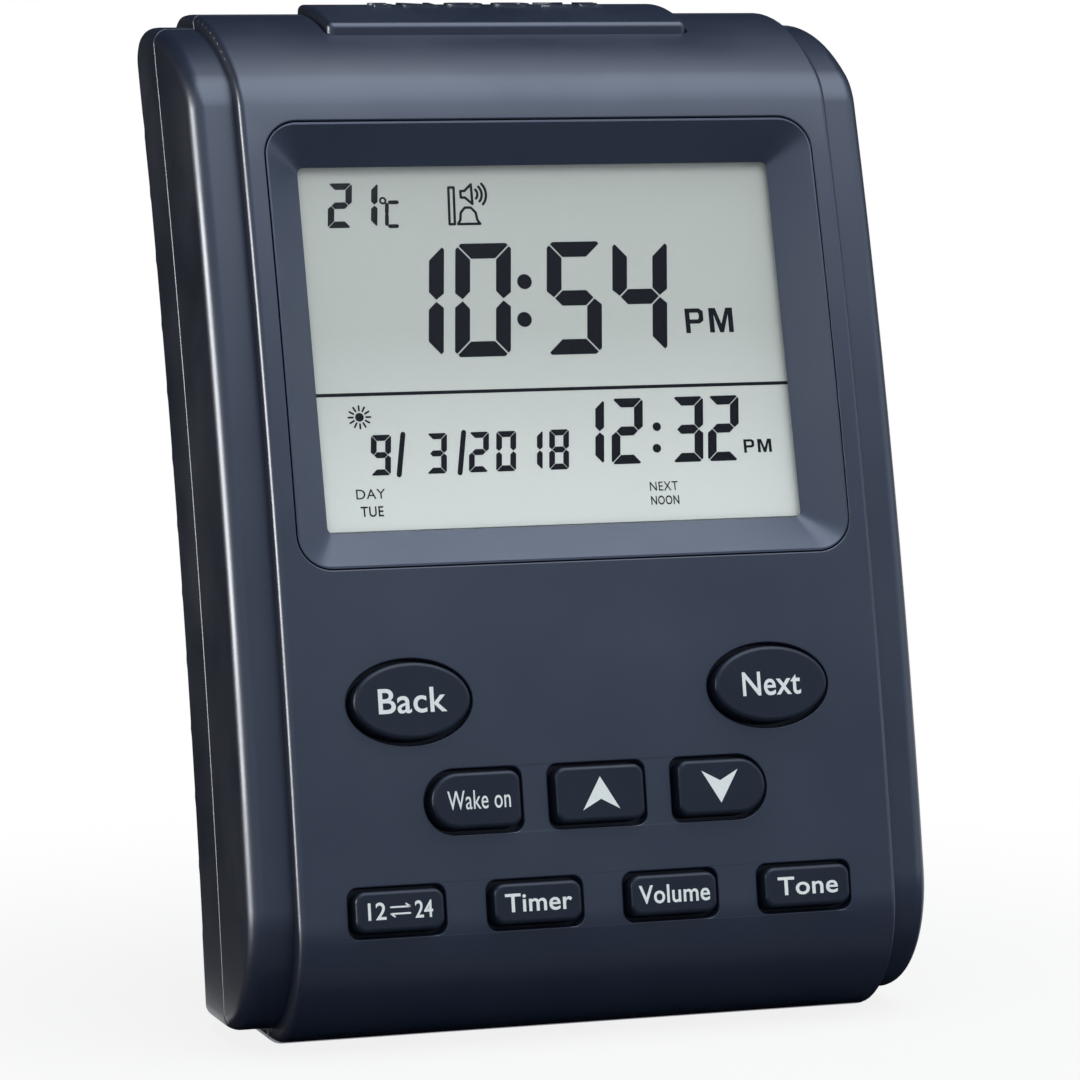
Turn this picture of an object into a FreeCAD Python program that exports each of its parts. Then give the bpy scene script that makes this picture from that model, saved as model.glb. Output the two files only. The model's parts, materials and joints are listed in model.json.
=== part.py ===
import FreeCAD, Part
import math
import os

# Desk prayer-time clock: a leaning two-part case with a raised centre band, a recessed display,
# nine keys, a snooze bar on top, a loudspeaker and a two-cell battery bay. Millimetres.
# +X is the viewer's right, +Y points away from the viewer, +Z is up. The origin lies on the flat
# base, on the centre plane of the case.

V = FreeCAD.Vector

# Case
band_margin = 3.35           # raised centre band past the display's opening, each side
wing_reach = 6.7             # lower side wings past the band, each side
top_margin = 11.6            # display's opening to the highest line of the band
case_depth = 33.7            # band front to wing rear, square to the face
face_radius = 772.0          # the face is a long convex arc
base_lean = 8.3              # degrees from upright where the face would meet the base
front_reach = 26.6           # from the origin forward to where the face would meet the base
wall = 2.4
seam_depth = 20.8            # face to the seam between the two shells
seam_gap = 0.12
wing_set_back = 2.9          # wing front behind the band front
wing_drop = 2.0              # wing top below the band top
wing_lift = 1.8              # wing bottom above the base
band_rear_step = 0.8         # the band also stands proud at the rear
crown_radius = 45.0          # top of the case, seen from the side
crown_back = 25.3            # highest line behind the face, at the height of the top
toe_radius = 18.0            # front bottom corner
brow_radius = 9.6            # front top corner
rear_top_radius = 5.0
heel_radius = 1.5
band_edge_radius = 1.0
wing_edge_radius = 2.4
seam_edge_radius = 0.3
post_sink = 2.16             # how deep in the front wall the keys' posts end
skin = 1.2                   # how deep in the other walls the posts end

# Rear housing that holds the cells and steadies the clock
housing_reach = 26.0         # origin to the housing's rear, at the base
housing_front = 2.0          # origin to the housing's front, at the base
housing_lean = 2.5           # degrees
housing_edge_radius = 3.0
housing_overrun = 2.4        # how far the housing's outline runs up into the case

# Display
window_width = 76.5
window_height = 56.7
window_corner_radius = 1.0
bezel_border_side = 6.2      # window to the opening in the shell
bezel_border_end = 6.25
bezel_corner_radius = 5.5
bezel_depth = 5.2
bezel_rim = 0.4              # from the opening to the sloping funnel
bezel_gap = 0.2              # between the bezel and its opening
bezel_sink = 0.1             # bezel's rim below the face
bezel_flange_side = 0.5
bezel_flange_end = 1.9
bezel_flange_thickness = 1.5
cell_margin_side = 1.75      # liquid crystal cell past the window
cell_margin_end = 2.65
window_thickness = 1.0
cell_thickness = 2.2
cell_ledge = 3.0             # contact ledge along the cell's lower edge
cell_ledge_thickness = 1.1
cell_spacing = 0.2           # window to liquid crystal cell
backlight_thickness = 3.2
tray_clearance = 0.2
tray_wall = 2.0
led_size = (3.0, 2.4, 2.8)
led_clearance = 0.2
strip_inset = 2.0            # contact strip's end inside the cell's side
strip_thickness = 2.2

# Boards
board_thickness = 1.6
board_corner_radius = 1.5
main_board_side_gap = 1.1    # main board to the side wall
main_board_margin = 0.8      # main board past the display's tray
main_post_inset = (2.7, 4.0) # posts inside the board's corners
key_board_margin = 1.8       # key board past the key mat, each side
key_board_top_margin = 0.35
key_board_toe_margin = 5.4
key_post_inset = 6.0
key_post_rise = 3.35         # top post above the oval keys' centre line
post_radius = 2.2
post_clearance = 0.3
board_screw_radius = 0.9
board_screw_length = 5.0
board_screw_head_radius = 1.8
board_screw_head = 1.3
board_screw_slot = (0.5, 2.6, 0.5)
screw_hole_clearance = 0.15
thread_clearance = 0.04
thread_spare = 0.5           # bore past the end of its screw
ribbon_width = 12.0
ribbon_thickness = 0.4
ribbon_lap = 3.0
ribbon_x = 20.0

# Parts on the main board's rear face: places are from the display's centre
controller_size = (14.0, 14.0, 1.6)
controller_spot = (-26.0, -8.0)
sound_chip_size = (10.0, 7.6, 1.6)
sound_chip_spot = (28.0, -22.0)
crystal_size = (9.0, 3.6, 2.6)
crystal_spot = (-26.0, 8.0)
thermistor_size = (1.6, 0.9, 0.7)
thermistor_inset = 5.0       # from the board's left edge
thermistor_y = -14.0
capacitor_radius = 2.5
capacitor_height = 5.5
capacitor_insets = (11.0, 18.0)   # from the board's left edge
capacitor_y = -22.0

# Keys: opening width and height of each sort
oval_key = (19.8, 13.0)
side_key = (15.5, 9.8)
middle_key = (15.6, 9.8)
slim_key = (15.3, 7.5)
toe_margin = 18.85           # base to the lowest row, along the face
low_row_gap = 7.15           # slim row to the middle row
high_row_gap = 3.9           # middle row to the oval keys
display_gap = 13.8           # oval keys to the display's opening
middle_key_gap = 4.1         # between neighbours in the middle row
oval_inset = 19.05           # band's edge to an oval key's centre
slim_inset = 7.6             # band's edge to the slim row
key_gap = 0.75               # round each key in its opening
key_proud = 1.65
key_edge_radius = 0.6
key_corner_radius = 1.6      # small corners of the keys with straight sides
key_flange = 0.9             # how far the flange reaches past the opening
key_flange_thickness = 1.2
key_rest_gap = 0.3           # flange to the inside of the shell
key_travel = 1.0
key_reach = 12.0             # length of the prisms that keys and openings are cut from
key_stem = (4.0, 3.0)
opening_edge_radius = 0.25
mat_thickness = 0.9
mat_margin = 1.0
dome_spare = 0.3             # dome height left when a key is pressed home
dome_radius = 2.2
dome_top_radius = 1.6
stem_gap = 0.02

# Snooze bar
bar_margin = 18.2            # band's edge to the end of the bar
bar_depth = 18.1             # front to rear
bar_behind_top = 2.0         # rear edge behind the highest line
bar_proud = 1.5
bar_gap = 0.35
bar_cap = 2.0
bar_wall = 1.6
bar_flange = 1.2
bar_flange_thickness = 1.2
bar_corner_radius = 1.2
bar_edge_radius = 1.0
bar_post_radius = 2.4
snooze_travel = 1.2
snooze_board_side_gap = 4.4  # board to the band's side wall
snooze_board_depth = 6.6
snooze_board_drop = 13.6     # underside below the highest line
snooze_board_ahead = 0.4     # centre line ahead of the highest line
snooze_post_inset = 5.0
switch_size = (6.0, 6.0, 3.6)
plunger_radius = 1.6
plunger_clearance = 0.06
plunger_guide = 2.6          # how deep the plunger reaches into the switch
plunger_shoulder = 0.4       # free length left when the bar is pressed home

# Loudspeaker, on the rear wall
speaker_drop = 22.4          # highest line to the speaker's centre, along the wall
speaker_radius = 19.5
speaker_rim = 2.0
speaker_seat = 0.9           # raised flat ring in the shell
speaker_clearance = 0.2
speaker_rim_room = 0.8       # seat past the basket's rim
gasket_thickness = 0.8
basket_flange = 1.2
basket_depth = 7.0
basket_sheet = 0.8
basket_neck_radius = 9.0
basket_window_radius = 2.6
basket_window_margin = (1.6, 1.2)
cone_sheet = 0.5
cone_neck_radius = 5.0
cone_gap = 0.3
cone_lift = 0.8
cone_spare = 1.5             # basket deeper than the cone
magnet_radius = 10.0
magnet_thickness = 4.6
speaker_screw_margin = 2.5   # screw centres outside the basket's rim
speaker_screw_lap = 0.6      # screw head over the rim
speaker_screw_length = 3.6
speaker_screw_slot = (0.5, 3.0, 0.5)
grille_radius = 13.4         # centres of the outer ring of holes
grille_hole_radius = 1.1
grille_rings = 4

# Battery bay, in the rear housing
aa_radius = 7.25
aa_length = 49.0
aa_button_radius = 2.7
aa_button_length = 1.5
aa_edge_radius = 0.6
aa_spacing = 1.1             # between the two cells
bay_wall = 1.6
bay_end = 2.6                # room for the contacts at each end
bay_slack = 0.4
bay_floor_height = 5.8       # underside of the lower cell's space
bay_side_room = 6.15         # bay to the housing's side wall, where the wires run
door_thickness = 1.8
door_overlap = 2.4           # door past the bay opening, each side
door_gap = 0.25
door_seat = 0.05             # door to the floor of its pocket
hook_width = 6.0
hook_offset = 18.0
hook_reach = 2.2
hook_thickness = 1.2
hook_neck = 1.4
hook_gap = 0.35
hook_swing_room = 1.6
hook_end_room = 1.2
hook_side_room = 0.5
hook_neck_room = 0.9
grip_ribs = 3
grip_size = (16.0, 1.2, 0.6)
grip_pitch = 2.4
grip_top_margin = 4.5
contact_thickness = 0.4
contact_width = 9.0
contact_bump_radius = (1.2, 3.2)
wire_radius = 0.6
wire_hole_clearance = 0.15
wire_pitch = 3.0
wire_lead = 4.6              # straight length where a wire leaves a pad
wire_bow = (1.0, -2.0)       # slack of the battery wires, across and fore-aft
battery_pad_x = 29.0
battery_pad_rise = 4.0       # pad above the main board's lower edge
speaker_wire_angle = -55.0   # degrees round the speaker's rim
speaker_wire_spread = 9.0    # degrees between its two wires
speaker_pad_shift = 2.0
speaker_pad_y = -6.0
snooze_pad_x = 24.0
snooze_pad_drop = 5.0        # pad below the main board's upper edge

# Case screws
case_screw_inset = 6.3       # from the wing's side
case_screw_station = 16.4    # lower pair, along the face from the base
case_screw_radius = 1.3
case_screw_length = 11.0
case_screw_head_radius = 2.6
case_screw_head = 2.0
case_screw_slot = (0.6, 3.8, 0.8)
case_screw_clearance = 0.2
case_post_radius = 3.0
well_radius = 3.0
well_wall = 1.2
well_floor = 2.2
well_board_gap = 0.8

# Sizes that follow from the ones above
bezel_width = window_width + 2 * bezel_border_side
bezel_height = window_height + 2 * bezel_border_end
band_width = bezel_width + 2 * band_margin
wing_width = band_width + 2 * wing_reach
cell_width = window_width + 2 * cell_margin_side
cell_height = window_height + 2 * cell_margin_end
tray_inner = (cell_width + 2 * tray_clearance, cell_height + 2 * tray_clearance)
tray_outer = (tray_inner[0] + 2 * tray_wall, tray_inner[1] + 2 * tray_wall)
slim_station = toe_margin + slim_key[1] / 2
middle_station = slim_station + slim_key[1] / 2 + low_row_gap + middle_key[1] / 2
oval_station = middle_station + middle_key[1] / 2 + high_row_gap + oval_key[1] / 2
display_station = oval_station + oval_key[1] / 2 + display_gap + bezel_height / 2
case_height = display_station + bezel_height / 2 + top_margin
speaker_station = case_height - speaker_drop
oval_x = band_width / 2 - oval_inset
side_x = middle_key[0] / 2 + middle_key_gap + side_key[0] / 2
slim_pitch = (band_width - 2 * slim_inset - slim_key[0]) / 3

# Keys: name, outline, centre across, station along the face, opening width and height
key_rows = [
    ("key_back", "oval", -oval_x, oval_station, *oval_key),
    ("key_set", "oval", oval_x, oval_station, *oval_key),
    ("key_alarm", "round_left", -side_x, middle_station, *side_key),
    ("key_up", "square", 0.0, middle_station, *middle_key),
    ("key_down", "round_right", side_x, middle_station, *side_key),
    ("key_calendar", "slim", -1.5 * slim_pitch, slim_station, *slim_key),
    ("key_timer", "slim", -0.5 * slim_pitch, slim_station, *slim_key),
    ("key_sound", "slim", 0.5 * slim_pitch, slim_station, *slim_key),
    ("key_tone", "slim", 1.5 * slim_pitch, slim_station, *slim_key),
]

lean0 = math.radians(base_lean)
arc_y = -front_reach + face_radius * math.cos(lean0)
arc_z = -face_radius * math.sin(lean0)
crown_z = case_height - crown_radius
long_reach = 400.0


# Frames and basic shapes

def arc_point(radius, height):
    """Point (y, z) at a height on a circle about the face's centre."""
    return arc_y - math.sqrt(radius ** 2 - (height - arc_z) ** 2), height


def arc_frame(depth, station):
    """Frame on the arc that lies a depth behind the face: x across, y up it, z out of the face."""
    angle = lean0 + station / face_radius
    radius = face_radius - depth
    spot = V(0, arc_y - radius * math.cos(angle), arc_z + radius * math.sin(angle))
    return FreeCAD.Placement(spot, FreeCAD.Rotation(V(1, 0, 0), 90 - math.degrees(angle)))


crown_peak_y = arc_point(face_radius, case_height)[0] + crown_back
bar_rear = crown_peak_y + bar_behind_top
bar_front = bar_rear - bar_depth
display_frame = arc_frame(0, display_station)
speaker_frame = arc_frame(case_depth + band_rear_step, speaker_station)
housing_frame = FreeCAD.Placement(
    V(0, housing_reach, 0), FreeCAD.Rotation(V(1, 0, 0), 90 - housing_lean))


def place(shape, frame):
    moved = shape.copy()
    moved.Placement = frame.multiply(moved.Placement)
    return moved


def housing_crossing():
    """Height where the housing's rear plane meets the wings' rear arc."""
    slope = math.tan(math.radians(housing_lean))
    radius = face_radius - case_depth
    aside = housing_reach - arc_y
    square = slope ** 2 + 1
    half_linear = slope * aside - arc_z
    rest = aside ** 2 + arc_z ** 2 - radius ** 2
    return (-half_linear + math.sqrt(half_linear ** 2 - square * rest)) / square


housing_top = housing_crossing()


def cylinder_x(radius, y, z, length=long_reach):
    return Part.makeCylinder(radius, length, V(-length / 2, y, z), V(1, 0, 0))


def face_cylinder(depth):
    """Everything behind the arc that lies a depth behind the face."""
    return cylinder_x(face_radius - depth, arc_y, arc_z)


def local_face_cylinder(depth):
    """The same cylinder in the display's frame."""
    return cylinder_x(face_radius - depth, 0, -face_radius)


def face_level(across_board):
    """Height of the face over the board plane's frame, at a distance up from the display centre."""
    return math.sqrt(face_radius ** 2 - across_board ** 2) - face_radius


def board_station(station):
    """Distance up the board from the display's centre to a station on the face."""
    return face_radius * math.sin((station - display_station) / face_radius)


def box(width, height, low, high, x=0.0, y=0.0):
    return Part.makeBox(width, height, high - low, V(x - width / 2, y - height / 2, low))


def rod(radius, low, high, x=0.0, y=0.0):
    return Part.makeCylinder(radius, high - low, V(x, y, low))


def rounded_wire(width, height, radius, level, x=0.0, y=0.0, radii=None, bow=0.0):
    """Rectangle with rounded corners; radii, if given, runs from the right top anticlockwise.

    bow is how far the left and right sides curve inwards at mid-height.
    """
    corners = radii or [radius] * 4
    half_w = width / 2
    half_h = height / 2
    signs = [(1, 1), (-1, 1), (-1, -1), (1, -1)]
    edges = []
    ends = []
    for (sx, sy), r in zip(signs, corners):
        centre = V(x + sx * (half_w - r), y + sy * (half_h - r), level)
        turn = math.atan2(sy, sx)
        points = []
        for step in (-1, 0, 1):
            angle = turn + step * math.pi / 4
            points.append(centre + V(r * math.cos(angle), r * math.sin(angle), 0))
        ends.append((points[0], points[2]))
        edges.append(Part.Arc(*points).toShape())
    wire_edges = []
    for index in range(4):
        wire_edges.append(edges[index])
        start = ends[index][1]
        stop = ends[(index + 1) % 4][0]
        if start.distanceToPoint(stop) < 1e-6:
            continue
        if bow and index % 2:
            middle = (start + stop) * 0.5 - V(math.copysign(bow, start.x), 0, 0)
            wire_edges.append(Part.Arc(start, middle, stop).toShape())
        else:
            wire_edges.append(Part.LineSegment(start, stop).toShape())
    return Part.Wire(wire_edges)


def rounded_box(width, height, radius, low, high, x=0.0, y=0.0, radii=None):
    face = Part.Face(rounded_wire(width, height, radius, low, x, y, radii))
    return face.extrude(V(0, 0, high - low))


def oval_box(width, height, low, high, x=0.0, y=0.0):
    ellipse = Part.Ellipse(V(x, y, low), width / 2, height / 2)
    return Part.Face(Part.Wire([ellipse.toShape()])).extrude(V(0, 0, high - low))


def union(shapes):
    total = shapes[0]
    if len(shapes) > 1:
        total = total.fuse(shapes[1:])
    return total.removeSplitter()


def solid_of(shape):
    """The single solid in a result, or the compound if it has several."""
    return shape.Solids[0] if len(shape.Solids) == 1 else Part.Compound(shape.Solids)


def round_edges(shape, radius, chosen):
    """Round the chosen edges."""
    edges = [edge for edge in shape.Edges if chosen(edge)]
    return shape.makeFillet(radius, edges) if edges else shape


# Case outline

def crossing(radius, crown):
    """Where an arc about the face's centre meets the crown circle: the upper crossing."""
    dy = crown_peak_y - arc_y
    dz = crown_z - arc_z
    distance = math.hypot(dy, dz)
    along = (radius ** 2 - crown ** 2 + distance ** 2) / (2 * distance)
    aside = math.sqrt(radius ** 2 - along ** 2)
    options = []
    for side in (1, -1):
        y = arc_y + along * dy / distance + side * aside * dz / distance
        z = arc_z + along * dz / distance - side * aside * dy / distance
        options.append((y, z))
    return max(options, key=lambda point: point[1])


def case_block(width, set_back, drop, lift, rear_in, inset):
    """Extruded side outline of the band or the wings, moved inwards by the inset."""
    front = face_radius - set_back - inset
    rear = face_radius - case_depth + rear_in + inset
    crown = crown_radius - drop - inset
    floor = lift + inset
    toe = arc_point(front, floor)
    brow = crossing(front, crown)
    tail = crossing(rear, crown)
    heel = arc_point(rear, floor)
    half = width / 2

    def spot(point):
        return V(-half, point[0], point[1])

    front_middle = arc_point(front, (toe[1] + brow[1]) / 2)
    rear_middle = arc_point(rear, (heel[1] + tail[1]) / 2)
    top_middle = (crown_peak_y, crown_z + crown)
    outline = Part.Wire([
        Part.Arc(spot(toe), spot(front_middle), spot(brow)).toShape(),
        Part.Arc(spot(brow), spot(top_middle), spot(tail)).toShape(),
        Part.Arc(spot(tail), spot(rear_middle), spot(heel)).toShape(),
        Part.LineSegment(spot(heel), spot(toe)).toShape(),
    ])
    block = Part.Face(outline).extrude(V(width, 0, 0))
    corners = [(toe, toe_radius), (brow, brow_radius), (tail, rear_top_radius), (heel, heel_radius)]
    for corner, radius in corners:
        block = round_edges(block, max(radius - inset, 0.4), lambda edge: is_corner(edge, corner, width))
    return block


def is_corner(edge, corner, width):
    centre = edge.CenterOfMass
    near = math.hypot(centre.y - corner[0], centre.z - corner[1]) < 0.01
    return near and abs(edge.Length - width) < 0.01


def on_side(edge, half):
    bounds = edge.BoundBox
    return bounds.XLength < 0.001 and abs(abs(bounds.XMin) - half) < 0.001


def band_block(inset):
    rear_in = -band_rear_step
    block = case_block(band_width - 2 * inset, 0, 0, 0, rear_in, inset)
    if inset:
        return block
    return round_edges(block, band_edge_radius, lambda edge: on_side(edge, band_width / 2))


def wing_block(inset):
    block = case_block(wing_width - 2 * inset, wing_set_back, wing_drop, wing_lift, 0, inset)
    if inset:
        return block
    return round_edges(block, wing_edge_radius, lambda edge: on_side(edge, wing_width / 2))


def housing_block(inset):
    """The deeper part of the rear shell, in the row's frame."""
    width = housing_width - 2 * inset
    slope = math.tan(math.radians(housing_lean))
    low = inset
    high = housing_top + housing_overrun
    inside = housing_front + inset
    points = [
        V(-width / 2, inside, low),
        V(-width / 2, housing_reach + low * slope - inset, low),
        V(-width / 2, housing_reach + high * slope - inset, high),
        V(-width / 2, inside + (high - low) * slope, high),
    ]
    block = Part.Face(Part.makePolygon(points + points[:1])).extrude(V(width, 0, 0))
    radius = max(housing_edge_radius - inset, 0.5)
    return round_edges(block, radius, lambda edge: is_housing_edge(edge, width, inset))


def is_housing_edge(edge, width, inset):
    bounds = edge.BoundBox
    upright = bounds.ZLength > housing_top / 2 and abs(abs(bounds.XMin) - width / 2) < 0.001
    return upright and bounds.YMax > housing_reach - inset - 0.5 and bounds.XLength < 0.001


def key_outline(kind, width, height, low, high, x, y):
    """Prism with a key's outline."""
    small = min(key_corner_radius, height / 3)
    large = height / 2 - 0.01
    if kind == "oval":
        return oval_box(width, height, low, high, x, y)
    if kind == "round_left":
        return rounded_box(width, height, small, low, high, x, y, [small, large, large, small])
    if kind == "round_right":
        return rounded_box(width, height, small, low, high, x, y, [large, small, small, large])
    return rounded_box(width, height, small, low, high, x, y)


# Levels in the display's frame, from the face inwards
bezel_back = -bezel_depth
window_back = bezel_back - window_thickness
cell_front = window_back - cell_spacing
cell_back = cell_front - cell_thickness
board_front = cell_back - backlight_thickness
board_back = board_front - board_thickness
mat_front = board_front + mat_thickness
dome_height = key_travel + dome_spare
dome_top = mat_front + dome_height

# Places on the boards, from the display's centre
main_board_width = wing_width - 2 * (wall + main_board_side_gap)
main_board_height = tray_outer[1] + 2 * main_board_margin
main_post_x = main_board_width / 2 - main_post_inset[0]
main_post_y = main_board_height / 2 - main_post_inset[1]
mat_width = band_width - 2 * slim_inset + 2 * mat_margin
mat_low = board_station(slim_station) - slim_key[1] / 2 - mat_margin
mat_high = board_station(oval_station) + oval_key[1] / 2 + mat_margin
key_board_width = mat_width + 2 * key_board_margin
key_board_top = mat_high + key_board_top_margin
key_board_bottom = mat_low - key_board_toe_margin
key_post_x = key_board_width / 2 - key_post_inset
key_posts = [
    (0.0, board_station(oval_station) + key_post_rise),
    (-key_post_x, board_station(middle_station)),
    (key_post_x, board_station(middle_station)),
    (0.0, board_station(slim_station) - slim_key[1] / 2 - key_flange - post_clearance - post_radius),
]
case_screw_x = wing_width / 2 - case_screw_inset
case_screw_rows = [
    board_station(case_screw_station),
    main_board_height / 2 + well_board_gap + well_wall + well_radius,
]
snooze_board_width = band_width - 2 * (wall + snooze_board_side_gap)
snooze_board_y = crown_peak_y - snooze_board_ahead
snooze_board_z = case_height - snooze_board_drop
snooze_board_top = snooze_board_z + board_thickness
snooze_post_x = snooze_board_width / 2 - snooze_post_inset
switch_top = snooze_board_top + switch_size[2]
plunger_top = switch_top + snooze_travel + plunger_shoulder


def seam_level(across_board):
    """Depth of the seam in the display's frame."""
    return math.sqrt((face_radius - seam_depth) ** 2 - across_board ** 2) - face_radius


# Snooze bar

def bar_slab(grow, outer, inner):
    """Part of the crown under the snooze bar, between two radii about the crown's axis."""
    width = band_width - 2 * bar_margin + 2 * grow
    depth = bar_depth + 2 * grow
    middle = (bar_front + bar_rear) / 2
    corner = max(bar_corner_radius + grow, 0.3)
    low = crown_z
    high = case_height + crown_radius
    column = rounded_box(width, depth, corner, low, high, 0, middle)
    ring = cylinder_x(outer, crown_peak_y, crown_z).cut(cylinder_x(inner, crown_peak_y, crown_z))
    return solid_of(column.common(ring))


def is_bar_top(edge):
    centre = edge.CenterOfMass
    radius = math.hypot(centre.y - crown_peak_y, centre.z - crown_z)
    return radius > crown_radius + bar_proud - bar_edge_radius / 2


def snooze_bar():
    outer = crown_radius + bar_proud
    skirt = crown_radius - wall - bar_gap - bar_flange_thickness
    shell = bar_slab(0, outer, skirt)
    shell = round_edges(shell, bar_edge_radius, is_bar_top)
    hollow = bar_slab(-bar_wall, outer - bar_cap, skirt - wall)
    flange = bar_slab(bar_flange, skirt + bar_flange_thickness, skirt)
    body = shell.cut(hollow)
    body = body.fuse(flange.cut(bar_slab(-bar_wall, outer, skirt - wall)))
    post = rod(bar_post_radius, plunger_top, case_height, 0, snooze_board_y)
    return solid_of(body.fuse(post).removeSplitter())


def snooze_opening():
    return bar_slab(bar_gap, crown_radius + brow_radius, crown_radius - brow_radius)


# Shells

def outer_case():
    return union([band_block(0), wing_block(0), housing_block(0)])


def cavity():
    return union([band_block(wall), wing_block(wall), housing_block(wall)])


def buried():
    """All that lies deeper in the case than the skin."""
    return union([band_block(skin), wing_block(skin), housing_block(skin)])


def front_posts():
    """Posts for both boards and the case screws, in the display's frame."""
    posts = []
    holes = []
    for x, y in main_posts():
        start = face_level(y) - wing_set_back - skin
        posts.append(rod(post_radius, board_front, start, x, y))
        holes.append(screw_bore(x, y))
    for x, y in key_posts:
        start = face_level(y) - post_sink
        posts.append(rod(post_radius, board_front, start, x, y))
        holes.append(screw_bore(x, y))
    for x, y in case_posts():
        level = seam_level(y) + seam_gap / 2
        start = face_level(y) - wing_set_back - skin
        posts.append(rod(case_post_radius, level, start, x, y))
        holes.append(rod(case_screw_radius + thread_clearance, level - 1, level + case_screw_length, x, y))
    return posts, holes


def screw_bore(x, y):
    depth = board_screw_length - board_thickness + thread_spare
    depth = min(depth, face_level(y) - wall - board_front)
    return rod(board_screw_radius + thread_clearance, board_front - 1, board_front + depth, x, y)


def main_posts():
    return [(sx * main_post_x, sy * main_post_y) for sx in (-1, 1) for sy in (-1, 1)]


def case_posts():
    return [(sx * case_screw_x, y) for sx in (-1, 1) for y in case_screw_rows]


def front_shell(outer, inner):
    shell = outer.cut(inner).cut(face_cylinder(seam_depth - seam_gap / 2))
    posts, holes = front_posts()
    room = buried()
    shell = shell.fuse([place(post, display_frame).common(room) for post in posts])
    cuts = [place(hole, display_frame) for hole in holes]
    opening = rounded_box(bezel_width, bezel_height, bezel_corner_radius, board_front, -board_front)
    cuts.append(place(opening, display_frame))
    for name, kind, x, station, width, height in key_rows:
        y = board_station(station)
        level = face_level(y)
        hole = key_outline(kind, width, height, level - key_reach, level + key_reach, x, y)
        cuts.append(place(hole, display_frame))
    cuts.append(snooze_opening())
    shell = solid_of(shell.cut(cuts))
    return soften_seam(soften_openings(shell), seam_gap / 2)


def soften_openings(shell):
    """Small rounds where the openings break the front face."""
    back = display_frame.inverse()

    def on_face(edge):
        if edge.Length > bezel_width * 2:
            return False
        points = [back.multVec(vertex.Point) for vertex in edge.Vertexes]
        points.append(back.multVec(edge.CenterOfMass))
        for point in points:
            if abs(point.x) > bezel_width / 2 + bezel_gap or point.y > bezel_height / 2 + bezel_gap:
                return False
            if point.y < mat_low:
                return False
        rim = [back.multVec(edge.valueAt(value)) for value in edge.ParameterRange]
        return all(abs(math.hypot(p.y, p.z + face_radius) - face_radius) < 0.01 for p in rim)

    return round_edges(shell, opening_edge_radius, on_face)


def soften_seam(shell, side):
    """Small round along the outer edge of the seam."""
    radius = face_radius - seam_depth + side
    skins = [band_block(skin), wing_block(skin), housing_block(skin)]

    def on_seam(edge):
        first, last = edge.ParameterRange
        points = [edge.valueAt(value) for value in (first, (first + last) / 2, last)]
        if any(abs(math.hypot(p.y - arc_y, p.z - arc_z) - radius) > 0.01 for p in points):
            return False
        return not any(skin.isInside(points[1], 0.0001, True) for skin in skins)

    return round_edges(shell, seam_edge_radius, on_seam)


def case_screws():
    screws = []
    for x, y in case_posts():
        seat = seam_level(y) - seam_gap / 2 - well_floor
        shank = rod(case_screw_radius, seat, seat + case_screw_length, x, y)
        head = rod(case_screw_head_radius, seat - case_screw_head, seat, x, y)
        low = seat - case_screw_head
        screw = head.fuse(shank).removeSplitter().cut(cross_slot(case_screw_slot, low, x, y))
        screws.append(place(screw, display_frame))
    return Part.Compound(screws)


def cross_slot(size, level, x, y):
    """Two crossed slots cut upwards into a screw head from its outer face."""
    width, length, depth = size
    low = level - depth
    high = level + depth
    return [box(width, length, low, high, x, y), box(length, width, low, high, x, y)]


def rear_wells():
    """Screw tubes of the rear shell and the room inside them, in the display's frame."""
    tubes = []
    rooms = []
    for x, y in case_posts():
        level = seam_level(y) - seam_gap / 2
        tubes.append(rod(well_radius + well_wall, level - seam_depth, level, x, y))
        rooms.append(rod(well_radius, level - 2 * seam_depth, level - well_floor, x, y))
        rooms.append(rod(case_screw_radius + case_screw_clearance, level - 2 * well_floor, level + 1, x, y))
    return tubes, rooms


# The battery bay is laid out in the housing's frame: x across, y up, z towards the front

aa_pitch = 2 * aa_radius + aa_spacing
bay_width = aa_length + aa_button_length + 2 * bay_end
housing_width = bay_width + 2 * (bay_wall + bay_side_room + wall)
bay_height = aa_pitch + 2 * aa_radius + 2 * bay_slack
bay_depth = 2 * aa_radius + 2 * bay_slack
bay_centre_y = bay_floor_height + bay_height / 2
bay_bottom = door_thickness + door_gap
door_width = bay_width + 2 * door_overlap
door_height = bay_height + 2 * door_overlap
door_low = bay_centre_y - door_height / 2
hook_level = wall + hook_gap


def housing_local(shape):
    """The housing's frame has z pointing out of the rear, so depths there are negative heights."""
    return place(shape, housing_frame)


def into_housing(width, height, near, far, x=0.0, y=0.0):
    """Box between two depths behind the housing's rear face."""
    return housing_local(box(width, height, near, far, x, y))


def bay_shell():
    outer = into_housing(bay_width + 2 * bay_wall, bay_height + 2 * bay_wall,
                         skin, bay_bottom + bay_depth + bay_wall, 0, bay_centre_y)
    return outer


def bay_room():
    return into_housing(bay_width, bay_height, -wall, bay_bottom + bay_depth, 0, bay_centre_y)


def door_pocket():
    return into_housing(door_width + 2 * door_gap, door_height + 2 * door_gap,
                        -wall, door_thickness + door_seat, 0, bay_centre_y)


def hook_slots():
    slots = []
    low = door_low - hook_reach - hook_end_room
    high = bay_floor_height + hook_side_room
    room_far = hook_level + hook_thickness + hook_swing_room
    neck_low = bay_floor_height - bay_wall - hook_neck_room
    width = hook_width + 2 * hook_side_room
    for x in (-hook_offset, hook_offset):
        slots.append(into_housing(width, high - low, wall, room_far, x, (low + high) / 2))
        slots.append(into_housing(width, high - neck_low, 0, wall + 1, x, (neck_low + high) / 2))
    return slots


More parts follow.
